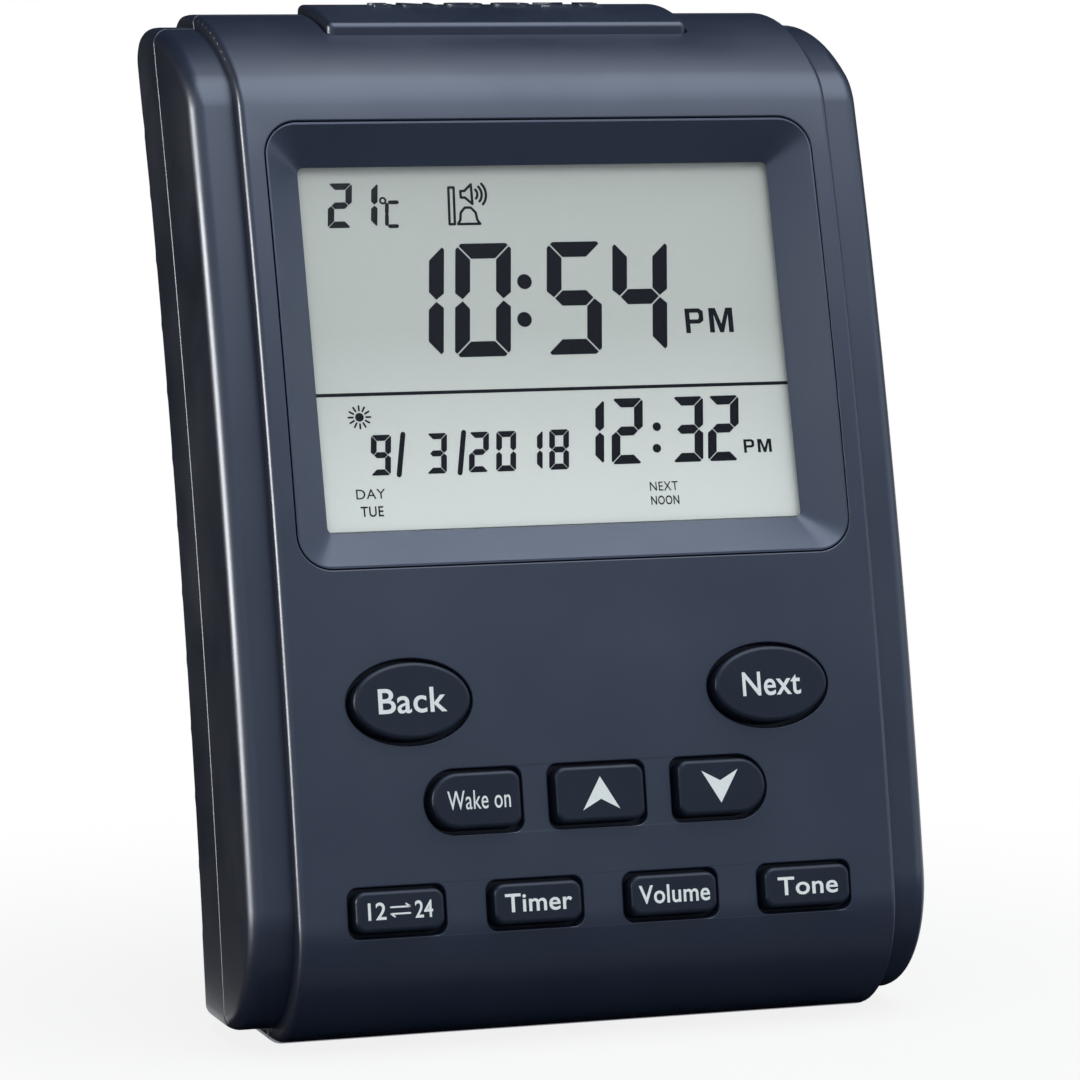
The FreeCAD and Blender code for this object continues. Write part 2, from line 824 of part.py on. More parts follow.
def speaker_holes():
    holes = [rod(grille_hole_radius, -wall, 2 * wall)]
    for ring in range(1, grille_rings):
        radius = grille_radius * ring / (grille_rings - 1)
        count = 6 * ring
        for index in range(count):
            angle = 2 * math.pi * index / count
            x = radius * math.cos(angle)
            y = radius * math.sin(angle)
            holes.append(rod(grille_hole_radius, -wall, 2 * wall, x, y))
    return [place(hole, speaker_frame) for hole in holes]


def speaker_screw_spots():
    spots = []
    ring = speaker_radius + speaker_screw_margin
    for index in range(3):
        angle = math.radians(30 + 120 * index)
        spots.append((ring * math.cos(angle), ring * math.sin(angle)))
    return spots


gasket_low = wall + speaker_seat
flange_low = gasket_low + gasket_thickness
flange_high = flange_low + basket_flange


def rear_shell(outer, inner):
    shell = outer.cut(inner).common(face_cylinder(seam_depth + seam_gap / 2))
    tubes, rooms = rear_wells()
    tubes = [place(tube, display_frame).common(outer) for tube in tubes]
    seat = rod(speaker_radius + speaker_rim_room, -wall, gasket_low).cut(
        rod(speaker_radius - speaker_rim, -2 * wall, gasket_low + 1))
    posts = [place(seat, speaker_frame)]
    for x, y in speaker_screw_spots():
        posts.append(place(rod(post_radius, -wall, flange_high, x, y), speaker_frame))
    for x in (-snooze_post_x, snooze_post_x):
        posts.append(rod(post_radius, snooze_board_top, case_height + wall, x, snooze_board_y))
    room = buried()
    posts = [post.common(room) for post in posts]
    shell = shell.fuse(tubes + [bay_shell()] + posts)
    cuts = [place(room, display_frame) for room in rooms]
    cuts += [bay_room(), door_pocket(), snooze_opening()]
    cuts += hook_slots() + speaker_holes() + bay_wire_holes()
    rim_room = rod(speaker_radius + speaker_clearance, gasket_low, flange_high + wall)
    cuts.append(place(rim_room, speaker_frame))
    for x, y in speaker_screw_spots():
        low = flange_high - speaker_screw_length - thread_spare
        bore = rod(board_screw_radius + thread_clearance, low, flange_high + 1, x, y)
        cuts.append(place(bore, speaker_frame))
    for x in (-snooze_post_x, snooze_post_x):
        high = snooze_board_z + board_screw_length + thread_spare
        cuts.append(rod(board_screw_radius + thread_clearance, snooze_board_z, high, x, snooze_board_y))
    return soften_seam(solid_of(shell.cut(cuts)), -seam_gap / 2)


# Display stack

def funnel():
    """Sloping hollow of the bezel, from an even rim along the curved face to the window."""
    half_w = bezel_width / 2 - bezel_rim
    half_h = bezel_height / 2 - bezel_rim
    far = bezel_rim

    def spread(rim, window, across_board):
        """Half size at the outer level of a slope that meets the face at the rim."""
        depth = bezel_depth + face_level(across_board)
        return window + (rim - window) * (bezel_depth + far) / depth

    top_h = spread(half_h, window_height / 2, half_h)
    wide = spread(half_w, window_width / 2, top_h - bezel_corner_radius)
    narrow = spread(half_w, window_width / 2, 0.0)
    top = rounded_wire(2 * wide, 2 * top_h, bezel_corner_radius, far, bow=wide - narrow)
    bottom = rounded_wire(window_width, window_height, window_corner_radius, bezel_back)
    return Part.makeLoft([bottom, top], True, True)


def display_bezel():
    body = rounded_box(bezel_width - 2 * bezel_gap, bezel_height - 2 * bezel_gap,
                       bezel_corner_radius - bezel_gap, bezel_back, bezel_depth)
    body = body.common(local_face_cylinder(bezel_sink))
    flange = rounded_box(bezel_width + 2 * bezel_flange_side, bezel_height + 2 * bezel_flange_end,
                         bezel_flange_end, bezel_back, bezel_back + bezel_flange_thickness)
    body = body.fuse(flange).cut(funnel())
    body = body.cut(box(window_width, window_height, bezel_back - 1, bezel_back + 0.01))
    return place(solid_of(body.removeSplitter()), display_frame)


def display_window():
    pane = rounded_box(cell_width, cell_height, window_corner_radius, window_back, bezel_back)
    return place(pane, display_frame)


def lcd_cell():
    body = box(cell_width, cell_height, cell_back, cell_front)
    ledge_y = -cell_height / 2 + cell_ledge / 2
    step = box(cell_width + 2, cell_ledge, cell_front - cell_thickness + cell_ledge_thickness,
               cell_front + 1, 0, ledge_y - 0.001)
    return place(solid_of(body.cut(step)), display_frame)


def light_plate_outline():
    low = -cell_height / 2 + cell_ledge + 2 * tray_clearance
    high = cell_height / 2
    return low, high


def backlight_plate():
    low, high = light_plate_outline()
    body = box(cell_width, high - low, board_front, cell_back, 0, (low + high) / 2)
    notch_width = led_size[0] + led_clearance
    notch = box(2 * notch_width, led_size[1] + 2 * led_clearance, board_front - 1, cell_back + 1,
                cell_width / 2, 0)
    return place(solid_of(body.cut(notch)), display_frame)


def backlight_led():
    body = box(led_size[0], led_size[1], board_front, board_front + led_size[2],
               cell_width / 2 - led_size[0] / 2, 0)
    return place(body, display_frame)


def zebra_strip():
    y = -cell_height / 2 + cell_ledge / 2
    width = cell_width - 2 * strip_inset
    return place(box(width, strip_thickness, board_front, cell_back, 0, y), display_frame)


def lcd_holder():
    body = rounded_box(tray_outer[0], tray_outer[1], board_corner_radius, board_front, bezel_back)
    body = body.cut(box(tray_inner[0], tray_inner[1], board_front - 1, bezel_back + 1))
    return place(solid_of(body), display_frame)


# Boards

def board(low, high, width, spots):
    middle = (low + high) / 2
    hole_radius = board_screw_radius + screw_hole_clearance
    plate = rounded_box(width, high - low, board_corner_radius, board_back, board_front, 0, middle)
    for x, y in spots:
        plate = plate.cut(rod(hole_radius, board_back - 1, board_front + 1, x, y))
    return place(solid_of(plate), display_frame)


def main_board():
    half = main_board_height / 2
    return board(-half, half, main_board_width, main_posts())


def key_board():
    return board(key_board_bottom, key_board_top, key_board_width, key_posts)


def chip(size, spot):
    """Block standing on the main board's rear face."""
    block = box(size[0], size[1], board_back - size[2], board_back, *spot)
    return place(block, display_frame)


def controller_chip():
    return chip(controller_size, controller_spot)


def sound_chip():
    return chip(sound_chip_size, sound_chip_spot)


def crystal_can():
    width, height, depth = crystal_size
    radius = height / 2 - 0.01
    can = rounded_box(width, height, radius, board_back - depth, board_back, *crystal_spot)
    return place(can, display_frame)


def thermistor():
    return chip(thermistor_size, (thermistor_inset - main_board_width / 2, thermistor_y))


def capacitors():
    top = board_back - capacitor_height
    left = -main_board_width / 2
    cans = [rod(capacitor_radius, top, board_back, left + x, capacitor_y) for x in capacitor_insets]
    return Part.Compound([place(can, display_frame) for can in cans])


def ribbon_cable():
    low = key_board_top - ribbon_lap
    high = -main_board_height / 2 + ribbon_lap
    back = board_back - ribbon_thickness
    body = box(ribbon_width, high - low, back, board_back, ribbon_x, (low + high) / 2)
    return place(body, display_frame)


def board_screw(x, y, back, length=board_screw_length):
    """Pan-head screw whose head bears on the level given as its back."""
    shank = rod(board_screw_radius, back, back + length, x, y)
    head = rod(board_screw_head_radius, back - board_screw_head, back, x, y)
    screw = head.fuse(shank).removeSplitter()
    return screw.cut(cross_slot(board_screw_slot, back - board_screw_head, x, y))


def main_board_screws():
    return Part.Compound([place(board_screw(x, y, board_back), display_frame) for x, y in main_posts()])


def key_board_screws():
    """No longer than their posts allow."""
    screws = []
    for x, y in key_posts:
        room = face_level(y) - wall - board_front - post_clearance
        length = min(board_screw_length, room + board_thickness)
        screws.append(place(board_screw(x, y, board_back, length), display_frame))
    return Part.Compound(screws)


# Keys

def key_mat():
    height = mat_high - mat_low
    middle = (mat_low + mat_high) / 2
    sheet = rounded_box(mat_width, height, board_corner_radius, board_front, mat_front, 0, middle)
    for x, y in key_posts:
        sheet = sheet.cut(rod(post_radius + post_clearance, board_front - 1, mat_front + 1, x, y))
    domes = []
    for name, kind, x, station, width, height in key_rows:
        spot = V(x, board_station(station), mat_front)
        domes.append(Part.makeCone(dome_radius, dome_top_radius, dome_height, spot))
    return place(solid_of(sheet.fuse(domes).removeSplitter()), display_frame)


def key(kind, x, station, width, height):
    y = board_station(station)
    level = face_level(y)
    key_width = width - 2 * key_gap
    key_height = height - 2 * key_gap
    flange_front = wall + key_rest_gap
    flange_back = flange_front + key_flange_thickness
    cap = key_outline(kind, key_width, key_height, level - key_reach, level + key_reach, x, y)
    cap = cap.common(local_face_cylinder(-key_proud)).cut(local_face_cylinder(flange_back))

    def on_top(edge):
        point = edge.valueAt(sum(edge.ParameterRange) / 2)
        return math.hypot(point.y, point.z + face_radius) > face_radius + key_proud / 2

    cap = round_edges(solid_of(cap), key_edge_radius, on_top)
    flange_size = (width + 2 * key_flange, height + 2 * key_flange)
    flange = key_outline(kind, *flange_size, level - key_reach, level + key_reach, x, y)
    flange = flange.common(local_face_cylinder(flange_front)).cut(local_face_cylinder(flange_back))
    stem = box(key_stem[0], key_stem[1], dome_top + stem_gap, level - wall, x, y)
    inside = place(band_block(wall + key_rest_gap), display_frame.inverse())
    body = cap.fuse([solid_of(flange.common(inside)), stem])
    return place(solid_of(body.removeSplitter()), display_frame)


# Snooze board

def snooze_board():
    plate = box(snooze_board_width, snooze_board_depth, snooze_board_z, snooze_board_top, 0, snooze_board_y)
    hole_radius = board_screw_radius + screw_hole_clearance
    for x in (-snooze_post_x, snooze_post_x):
        plate = plate.cut(rod(hole_radius, snooze_board_z - 1, snooze_board_top + 1, x, snooze_board_y))
    return solid_of(plate)


def snooze_screws():
    spots = (-snooze_post_x, snooze_post_x)
    return Part.Compound([board_screw(x, snooze_board_y, snooze_board_z) for x in spots])


def snooze_switch():
    body = box(switch_size[0], switch_size[1], snooze_board_top, switch_top, 0, snooze_board_y)
    floor = switch_top - plunger_guide - snooze_travel / 3
    hole = rod(plunger_radius + plunger_clearance, floor, switch_top + 1, 0, snooze_board_y)
    return solid_of(body.cut(hole))


def snooze_plunger():
    bottom = switch_top - plunger_guide + snooze_travel
    return rod(plunger_radius, bottom, plunger_top, 0, snooze_board_y)


# Loudspeaker

def speaker_gasket():
    ring = rod(speaker_radius, gasket_low, flange_low).cut(
        rod(speaker_radius - speaker_rim, gasket_low - 1, flange_low + 1))
    return place(solid_of(ring), speaker_frame)


def speaker_basket():
    flange = rod(speaker_radius, flange_low, flange_high)
    inner_top = speaker_radius - speaker_rim
    skirt = Part.makeCone(inner_top + basket_sheet, basket_neck_radius + basket_sheet,
                          basket_depth, V(0, 0, flange_high))
    hollow = Part.makeCone(inner_top, basket_neck_radius, basket_depth, V(0, 0, flange_high))
    floor = rod(basket_neck_radius + basket_sheet, flange_high + basket_depth,
                flange_high + basket_depth + basket_sheet)
    body = flange.fuse([skirt, floor]).cut([hollow, rod(inner_top, flange_low - 1, flange_high + 0.001)])
    for index in range(4):
        angle = math.radians(45 + 90 * index)
        reach = (inner_top + basket_neck_radius) / 2
        low = flange_high + basket_window_margin[0]
        window = rod(basket_window_radius, low, flange_high + basket_depth - basket_window_margin[1])
        window.translate(V(reach * math.cos(angle), reach * math.sin(angle), 0))
        body = body.cut(window)
    return place(solid_of(body.removeSplitter()), speaker_frame)


def speaker_cone():
    rim = speaker_radius - speaker_rim - cone_gap
    depth = basket_depth - cone_spare
    low = flange_high - cone_lift
    outer = Part.makeCone(rim, cone_neck_radius, depth, V(0, 0, low))
    inner = Part.makeCone(rim, cone_neck_radius, depth, V(0, 0, low - cone_sheet))
    cone = outer.cut(inner)
    coil = rod(cone_neck_radius, low + depth - cone_sheet, flange_high + basket_depth)
    return place(solid_of(cone.fuse(coil).removeSplitter()), speaker_frame)


def speaker_magnet():
    low = flange_high + basket_depth + basket_sheet
    return place(rod(magnet_radius, low, low + magnet_thickness), speaker_frame)


def speaker_screws():
    screws = []
    head_radius = speaker_screw_margin + speaker_screw_lap
    head_top = flange_high + board_screw_head
    for x, y in speaker_screw_spots():
        shank = rod(board_screw_radius, flange_high - speaker_screw_length, flange_high, x, y)
        head = rod(head_radius, flange_high, head_top, x, y)
        screw = head.fuse(shank).removeSplitter().cut(cross_slot(speaker_screw_slot, head_top, x, y))
        screws.append(place(screw, speaker_frame))
    return Part.Compound(screws)


# Battery bay

def cell_axis_depth():
    return bay_bottom + bay_slack + aa_radius


def is_round_rim(edge):
    return edge.BoundBox.XLength < aa_edge_radius


def battery(y, turned):
    """AA cell lying across the bay; turned puts its button on the left."""
    depth = cell_axis_depth()
    length = aa_length
    body = Part.makeCylinder(aa_radius, length, V(-length / 2, y, depth), V(1, 0, 0))
    body = body.makeFillet(aa_edge_radius, [edge for edge in body.Edges if is_round_rim(edge)])
    button = Part.makeCylinder(aa_button_radius, aa_button_length + aa_edge_radius,
                               V(length / 2 - aa_edge_radius, y, depth), V(1, 0, 0))
    shape = body.fuse(button).removeSplitter()
    if turned:
        shape = shape.mirror(V(0, 0, 0), V(1, 0, 0))
    return housing_local(solid_of(shape))


lower_cell_y = bay_floor_height + bay_slack + aa_radius
upper_cell_y = lower_cell_y + aa_pitch


def contact_plate(side, y, height):
    """Flat contact against the bay's end wall with a bump that meets the cell."""
    wall_x = side * (bay_width / 2 - contact_thickness / 2)
    depth = cell_axis_depth()
    plate = box(contact_thickness, height, depth - contact_width / 2, depth + contact_width / 2, wall_x, y)
    return plate


def contact_bump(side, y, gap):
    start = side * (bay_width / 2 - contact_thickness - gap)
    depth = cell_axis_depth()
    return Part.makeCone(*contact_bump_radius, gap, V(start, y, depth), V(side, 0, 0))


button_room = bay_width / 2 - contact_thickness - aa_length / 2 - aa_button_length
base_room = bay_width / 2 - contact_thickness - aa_length / 2


def contact_bridge():
    """Left contact joining the lower cell's base to the upper cell's button."""
    middle = (lower_cell_y + upper_cell_y) / 2
    parts = [contact_plate(-1, middle, aa_pitch + contact_width)]
    parts.append(contact_bump(-1, lower_cell_y, base_room))
    parts.append(contact_bump(-1, upper_cell_y, button_room))
    return housing_local(solid_of(union(parts)))


def contact_positive():
    parts = [contact_plate(1, lower_cell_y, contact_width), contact_bump(1, lower_cell_y, button_room)]
    return housing_local(solid_of(union(parts)))


def contact_negative():
    parts = [contact_plate(1, upper_cell_y, contact_width), contact_bump(1, upper_cell_y, base_room)]
    return housing_local(solid_of(union(parts)))


def battery_door():
    parts = [box(door_width, door_height, 0, door_thickness, 0, bay_centre_y)]
    neck_y = bay_floor_height - bay_wall + hook_side_room
    hook_low = door_low - hook_reach
    hook_high = neck_y + hook_neck / 2
    hook_top = hook_level + hook_thickness
    for x in (-hook_offset, hook_offset):
        parts.append(box(hook_width, hook_neck, door_thickness, hook_top, x, neck_y))
        hook_y = (hook_low + hook_high) / 2
        parts.append(box(hook_width, hook_high - hook_low, hook_level, hook_top, x, hook_y))
    door = union(parts)
    width, height, depth = grip_size
    grooves = []
    for index in range(grip_ribs):
        y = bay_centre_y + door_height / 2 - grip_top_margin - grip_pitch * index
        grooves.append(box(width, height, -depth, depth, 0, y))
    return housing_local(solid_of(door.cut(grooves)))


# Wires: straight runs joined by tangent arcs

def wire_path(points):
    edges = []
    start = points[0]
    for index in range(1, len(points) - 1):
        here = points[index]
        back = points[index - 1] - here
        ahead = points[index + 1] - here
        run = min(back.Length, ahead.Length)
        back.normalize()
        ahead.normalize()
        turn = math.pi - back.getAngle(ahead)
        tangent = 0.45 * run
        radius = tangent / math.tan(turn / 2)
        arc_start = here + back * tangent
        arc_end = here + ahead * tangent
        bisector = back + ahead
        bisector.normalize()
        centre_distance = math.hypot(radius, tangent)
        middle = here + bisector * (centre_distance - radius)
        edges.append(Part.LineSegment(start, arc_start).toShape())
        edges.append(Part.Arc(arc_start, middle, arc_end).toShape())
        start = arc_end
    edges.append(Part.LineSegment(start, points[-1]).toShape())
    return Part.Wire(edges)


def wire_tube(points):
    path = wire_path(points)
    direction = points[1] - points[0]
    profile = Part.Wire([Part.Circle(points[0], direction, wire_radius).toShape()])
    tube = path.makePipeShell([profile], True, False)
    return Part.Solid(tube) if tube.ShapeType == "Shell" else tube


def display_point(x, y, z):
    return display_frame.multVec(V(x, y, z))


def speaker_point(x, y, z):
    return speaker_frame.multVec(V(x, y, z))


def housing_point(x, y, z):
    return housing_frame.multVec(V(x, y, z))


def pad_route(x, y):
    """From a pad on the main board's rear face to a point straight behind it."""
    return [display_point(x, y, board_back), display_point(x, y, board_back - wire_lead)]


def battery_wires():
    tubes = []
    for index, y in enumerate((upper_cell_y, lower_cell_y)):
        x = battery_pad_x + index * wire_pitch
        depth = cell_axis_depth() + index * wire_pitch
        end = housing_point(bay_width / 2, y, depth)
        beside = housing_point(bay_width / 2 + bay_wall + wire_lead / 2 + index, y, depth)
        route = pad_route(x, battery_pad_rise - main_board_height / 2)
        halfway = (route[-1] + beside) * 0.5 + V(*wire_bow, 0)
        tubes.append(wire_tube(route + [halfway, beside, end]))
    return Part.Compound(tubes)


def bay_wire_holes():
    holes = []
    for index, y in enumerate((upper_cell_y, lower_cell_y)):
        depth = cell_axis_depth() + index * wire_pitch
        start = V(bay_width / 2 - 1, y, depth)
        hole = Part.makeCylinder(wire_radius + wire_hole_clearance, 2 + bay_wall, start, V(1, 0, 0))
        holes.append(housing_local(hole))
    return holes


def speaker_wires():
    ring = speaker_radius - wire_radius - thread_clearance
    tubes = []
    for index in range(2):
        angle = math.radians(speaker_wire_angle - index * speaker_wire_spread)
        x = ring * math.cos(angle)
        y = ring * math.sin(angle)
        start = [speaker_point(x, y, flange_high), speaker_point(x, y, flange_high + wire_lead)]
        pad = pad_route(x + speaker_pad_shift, speaker_pad_y)
        tubes.append(wire_tube(start + pad[::-1]))
    return Part.Compound(tubes)


def snooze_wires():
    tubes = []
    for index in range(2):
        x = snooze_pad_x + index * wire_pitch
        start = [V(x, snooze_board_y, snooze_board_z), V(x, snooze_board_y, snooze_board_z - wire_lead)]
        pad = pad_route(x, main_board_height / 2 - snooze_pad_drop)
        tubes.append(wire_tube(start + pad[::-1]))
    return Part.Compound(tubes)


pieces = {}


def build():
    outer = outer_case()
    inner = cavity()
    pieces["front_shell"] = front_shell(outer, inner)
    pieces["rear_shell"] = rear_shell(outer, inner)
    pieces["case_screws"] = case_screws()
    pieces["display_bezel"] = display_bezel()
    pieces["display_window"] = display_window()
    pieces["lcd_cell"] = lcd_cell()
    pieces["backlight_plate"] = backlight_plate()
    pieces["backlight_led"] = backlight_led()
    pieces["zebra_strip"] = zebra_strip()
    pieces["lcd_holder"] = lcd_holder()
    pieces["main_board"] = main_board()
    pieces["main_board_screws"] = main_board_screws()
    pieces["controller_chip"] = controller_chip()
    pieces["sound_chip"] = sound_chip()
    pieces["crystal_can"] = crystal_can()
    pieces["capacitors"] = capacitors()
    pieces["thermistor"] = thermistor()
    pieces["key_board"] = key_board()
    pieces["key_board_screws"] = key_board_screws()
    pieces["ribbon_cable"] = ribbon_cable()
    pieces["key_mat"] = key_mat()
    for name, kind, x, station, width, height in key_rows:
        pieces[name] = key(kind, x, station, width, height)
    pieces["snooze_bar"] = snooze_bar()
    pieces["snooze_plunger"] = snooze_plunger()
    pieces["snooze_switch"] = snooze_switch()
    pieces["snooze_board"] = snooze_board()
    pieces["snooze_board_screws"] = snooze_screws()
    pieces["speaker_gasket"] = speaker_gasket()
    pieces["speaker_basket"] = speaker_basket()
    pieces["speaker_cone"] = speaker_cone()
    pieces["speaker_magnet"] = speaker_magnet()
    pieces["speaker_screws"] = speaker_screws()
    pieces["battery_lower"] = battery(lower_cell_y, False)
    pieces["battery_upper"] = battery(upper_cell_y, True)
    pieces["contact_bridge"] = contact_bridge()
    pieces["contact_positive"] = contact_positive()
    pieces["contact_negative"] = contact_negative()
    pieces["battery_door"] = battery_door()
    pieces["battery_wires"] = battery_wires()
    pieces["speaker_wires"] = speaker_wires()
    pieces["snooze_wires"] = snooze_wires()


def export():
    os.makedirs("parts", exist_ok=True)
    for name, shape in pieces.items():
        shape.exportStep("parts/" + name + ".step")
        bounds = shape.BoundBox
        print(name, "solids", len(shape.Solids), "valid", shape.isValid(),
              "volume", round(shape.Volume, 1),
              "y", round(bounds.YMin, 1), round(bounds.YMax, 1),
              "z", round(bounds.ZMin, 1), round(bounds.ZMax, 1))


build()
export()
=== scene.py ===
import json
import math

import bmesh
import bpy
from bpy.props import FloatProperty, FloatVectorProperty, PointerProperty, StringProperty
from mathutils import Matrix, Vector
from mathutils.bvhtree import BVHTree


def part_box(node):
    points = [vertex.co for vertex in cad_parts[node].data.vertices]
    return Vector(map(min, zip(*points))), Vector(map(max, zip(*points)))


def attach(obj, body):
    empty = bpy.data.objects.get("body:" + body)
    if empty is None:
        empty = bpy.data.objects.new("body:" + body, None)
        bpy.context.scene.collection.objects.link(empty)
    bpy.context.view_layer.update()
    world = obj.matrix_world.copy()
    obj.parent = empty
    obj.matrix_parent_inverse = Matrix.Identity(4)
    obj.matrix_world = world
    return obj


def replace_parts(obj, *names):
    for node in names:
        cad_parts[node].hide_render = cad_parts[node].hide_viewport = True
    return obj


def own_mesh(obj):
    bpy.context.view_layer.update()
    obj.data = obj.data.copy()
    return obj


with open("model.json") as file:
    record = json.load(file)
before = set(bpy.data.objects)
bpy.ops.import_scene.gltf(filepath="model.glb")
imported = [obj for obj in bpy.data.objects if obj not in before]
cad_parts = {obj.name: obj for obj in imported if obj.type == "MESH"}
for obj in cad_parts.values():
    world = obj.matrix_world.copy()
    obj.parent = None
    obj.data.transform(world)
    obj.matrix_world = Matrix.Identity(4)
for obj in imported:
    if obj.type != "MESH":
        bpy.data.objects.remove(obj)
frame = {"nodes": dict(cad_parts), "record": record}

bl_info = {
    "name": "Desk Prayer Clock",
    "version": (1, 0, 0),
    "blender": (4, 5, 0),
    "location": "3D View > Sidebar > Desk Clock",
    "description": "Finishes, printing, display marks and stage for a desk prayer clock",
    "category": "3D View",
}

MM = 0.001
SAME_POINT = 0.001 * MM       # points nearer than this are one
SHARP_EDGE = math.radians(32)  # faces that meet at less than this shade as one curved face
CAP_DEPTH = 1.2 * MM          # faces within this depth of a key's top belong to its finger face
CAP_SLOPE = 0.97              # and look this nearly outwards
DOME_HEIGHT = 1.3 * MM
NODES = frame["nodes"]
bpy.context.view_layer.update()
SLOT_OF = {part["node"]: part["material_slot"] for part in frame["record"]["subparts"]}
JOINTS = frame["record"]["behaviour"]["joints"]
KEYS = [joint["child"] for joint in JOINTS if joint["child"].startswith("key_")]


# Places worked out from the frame

def press_axis():
    """Direction in which the keys are pressed, square to the boards and the display."""
    for joint in JOINTS:
        if joint["name"] == "key_up_press":
            return Vector(joint["axis"]).normalized()
    raise RuntimeError("the frame has no key_up_press joint")


OUT = -press_axis()
ACROSS = Vector((1, 0, 0))


def node_corners(node):
    return [Vector(corner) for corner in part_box(node)]


def node_centre(node):
    low, high = node_corners(node)
    return (low + high) / 2


def frontmost(node, direction):
    """How far a node reaches along a direction."""
    return max(vertex.co.dot(direction) for vertex in NODES[node].data.vertices)


def upright_frame(origin, out):
    """Matrix whose z axis is the direction given, with x across the clock."""
    up = out.cross(ACROSS).normalized()
    turn = Matrix((ACROSS, up, out)).transposed().to_4x4()
    return Matrix.Translation(origin) @ turn


def display_matrix():
    """Frame on the front of the liquid crystal cell, at the middle of the window."""
    centre = node_centre("display_window")
    level = frontmost("lcd_cell", OUT)
    return upright_frame(centre + OUT * (level - centre.dot(OUT)), OUT)


def key_matrix(node):
    """Frame on the middle of a key's finger face."""
    mesh = NODES[node].data
    reach = frontmost(node, OUT)
    centre = Vector()
    normal = Vector()
    total = 0.0
    for face in mesh.polygons:
        if face.normal.dot(OUT) > CAP_SLOPE and face.center.dot(OUT) > reach - CAP_DEPTH:
            centre += face.center * face.area
            normal += face.normal * face.area
            total += face.area
    return upright_frame(centre / total, normal.normalized())


def surface_of(node):
    mesh = NODES[node].data
    return BVHTree.FromPolygons([v.co for v in mesh.vertices], [p.vertices for p in mesh.polygons])


# Meshes

def mesh_object(name, mesh, material, body):
    """A finished piece: its place is in its mesh, and it rides on a body."""
    piece = bpy.data.objects.new(name, mesh)
    bpy.context.scene.collection.objects.link(piece)
    mesh.materials.clear()
    mesh.materials.append(material)
    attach(piece, body)
    return piece


def finish_mesh(bm, name):
    mesh = bpy.data.meshes.new(name)
    bm.to_mesh(mesh)
    bm.free()
    return mesh


def add_plate(bm, outline, low, high):
    """Flat plate with the outline given, between two levels."""
    corners = [bm.verts.new((x, y, low)) for x, y in outline]
    sides = [bm.edges.new(pair) for pair in zip(corners, corners[1:] + corners[:1])]
    made = bmesh.ops.contextual_create(bm, geom=sides)
    raised = bmesh.ops.extrude_face_region(bm, geom=made["faces"])
    lifted = [item for item in raised["geom"] if isinstance(item, bmesh.types.BMVert)]
    bmesh.ops.translate(bm, verts=lifted, vec=(0, 0, high - low))
    return corners + lifted


def add_disc(bm, x, y, radius, low, high, sides=32):
    step = 2 * math.pi / sides
    outline = [(x + radius * math.cos(i * step), y + radius * math.sin(i * step)) for i in range(sides)]
    return add_plate(bm, outline, low, high)


def add_line(bm, points, width, low, high, closed=False):
    """Line of the width given through flat points, as short plates with round joints."""
    ends = points[1:] + points[:1] if closed else points[1:]
    for start, stop in zip(points, ends):
        run = Vector(stop) - Vector(start)
        side = Vector((-run.y, run.x)).normalized() * width / 2
        first = Vector(start)
        last = Vector(stop)
        add_plate(bm, [first - side, last - side, last + side, first + side], low, high)
    for x, y in points:
        add_disc(bm, x, y, width / 2, low, high, 8)


def text_mesh(words, size, weight, spread, depth):
    """Solid lettering centred on its own box: size is its width and height, and weight thickens it."""
    curve = bpy.data.curves.new("lettering", "FONT")
    curve.body = words
    curve.size = 1.0
    curve.offset = weight
    curve.space_character = spread
    curve.extrude = 0.5
    curve.resolution_u = 6
    holder = bpy.data.objects.new("lettering", curve)
    mesh = bpy.data.meshes.new_from_object(holder)
    bpy.data.objects.remove(holder)
    bpy.data.curves.remove(curve)
    low, high = flat_bounds(mesh)
    middle = (low + high) / 2
    width, height = size
    scale_x = width / (high.x - low.x)
    scale_y = height / (high.y - low.y)
    mesh.transform(Matrix.Translation(-middle))
    mesh.transform(Matrix.Diagonal((scale_x, scale_y, depth, 1)))
    return mesh


def flat_bounds(mesh):
    low = Vector([min(v.co[axis] for v in mesh.vertices) for axis in range(3)])
    high = Vector([max(v.co[axis] for v in mesh.vertices) for axis in range(3)])
    return low, high


def lay_on(bm, matrix, surface):
    """Wraps flat printing onto a surface: z above the flat becomes height above the surface."""
    out = matrix.to_3x3() @ Vector((0, 0, 1))
    for vertex in bm.verts:
        above = vertex.co.z
        start = matrix @ Vector((vertex.co.x, vertex.co.y, 0)) + out * 5 * MM
        hit = surface.ray_cast(start, -out)
        if hit[0] is None:
            raise RuntimeError("printing reaches past its surface")
        vertex.co = hit[0] + out * above


# Materials

def add_socket(group, name, kind, value=None, output=False):
    direction = "OUTPUT" if output else "INPUT"
    socket = group.interface.new_socket(name=name, in_out=direction, socket_type=kind)
    if value is not None:
        socket.default_value = value
    return socket


def place_node(tree, kind, **settings):
    node = tree.nodes.new(kind)
    for name, value in settings.items():
        setattr(node, name, value)
    return node


def map_range(tree, source, low, high):
    """Turns a value of about 0.3 to 0.7 into the range given."""
    node = place_node(tree, "ShaderNodeMapRange")
    node.inputs["From Min"].default_value = 0.3
    node.inputs["From Max"].default_value = 0.7
    tree.links.new(source, node.inputs["Value"])
    for name, value in (("To Min", low), ("To Max", high)):
        if isinstance(value, float):
            node.inputs[name].default_value = value
        else:
            tree.links.new(value, node.inputs[name])
    return node.outputs["Result"]


def math_node(tree, operation, first, second):
    node = place_node(tree, "ShaderNodeMath", operation=operation)
    for index, value in enumerate((first, second)):
        if isinstance(value, (int, float)):
            node.inputs[index].default_value = value
        else:
            tree.links.new(value, node.inputs[index])
    return node.outputs[0]


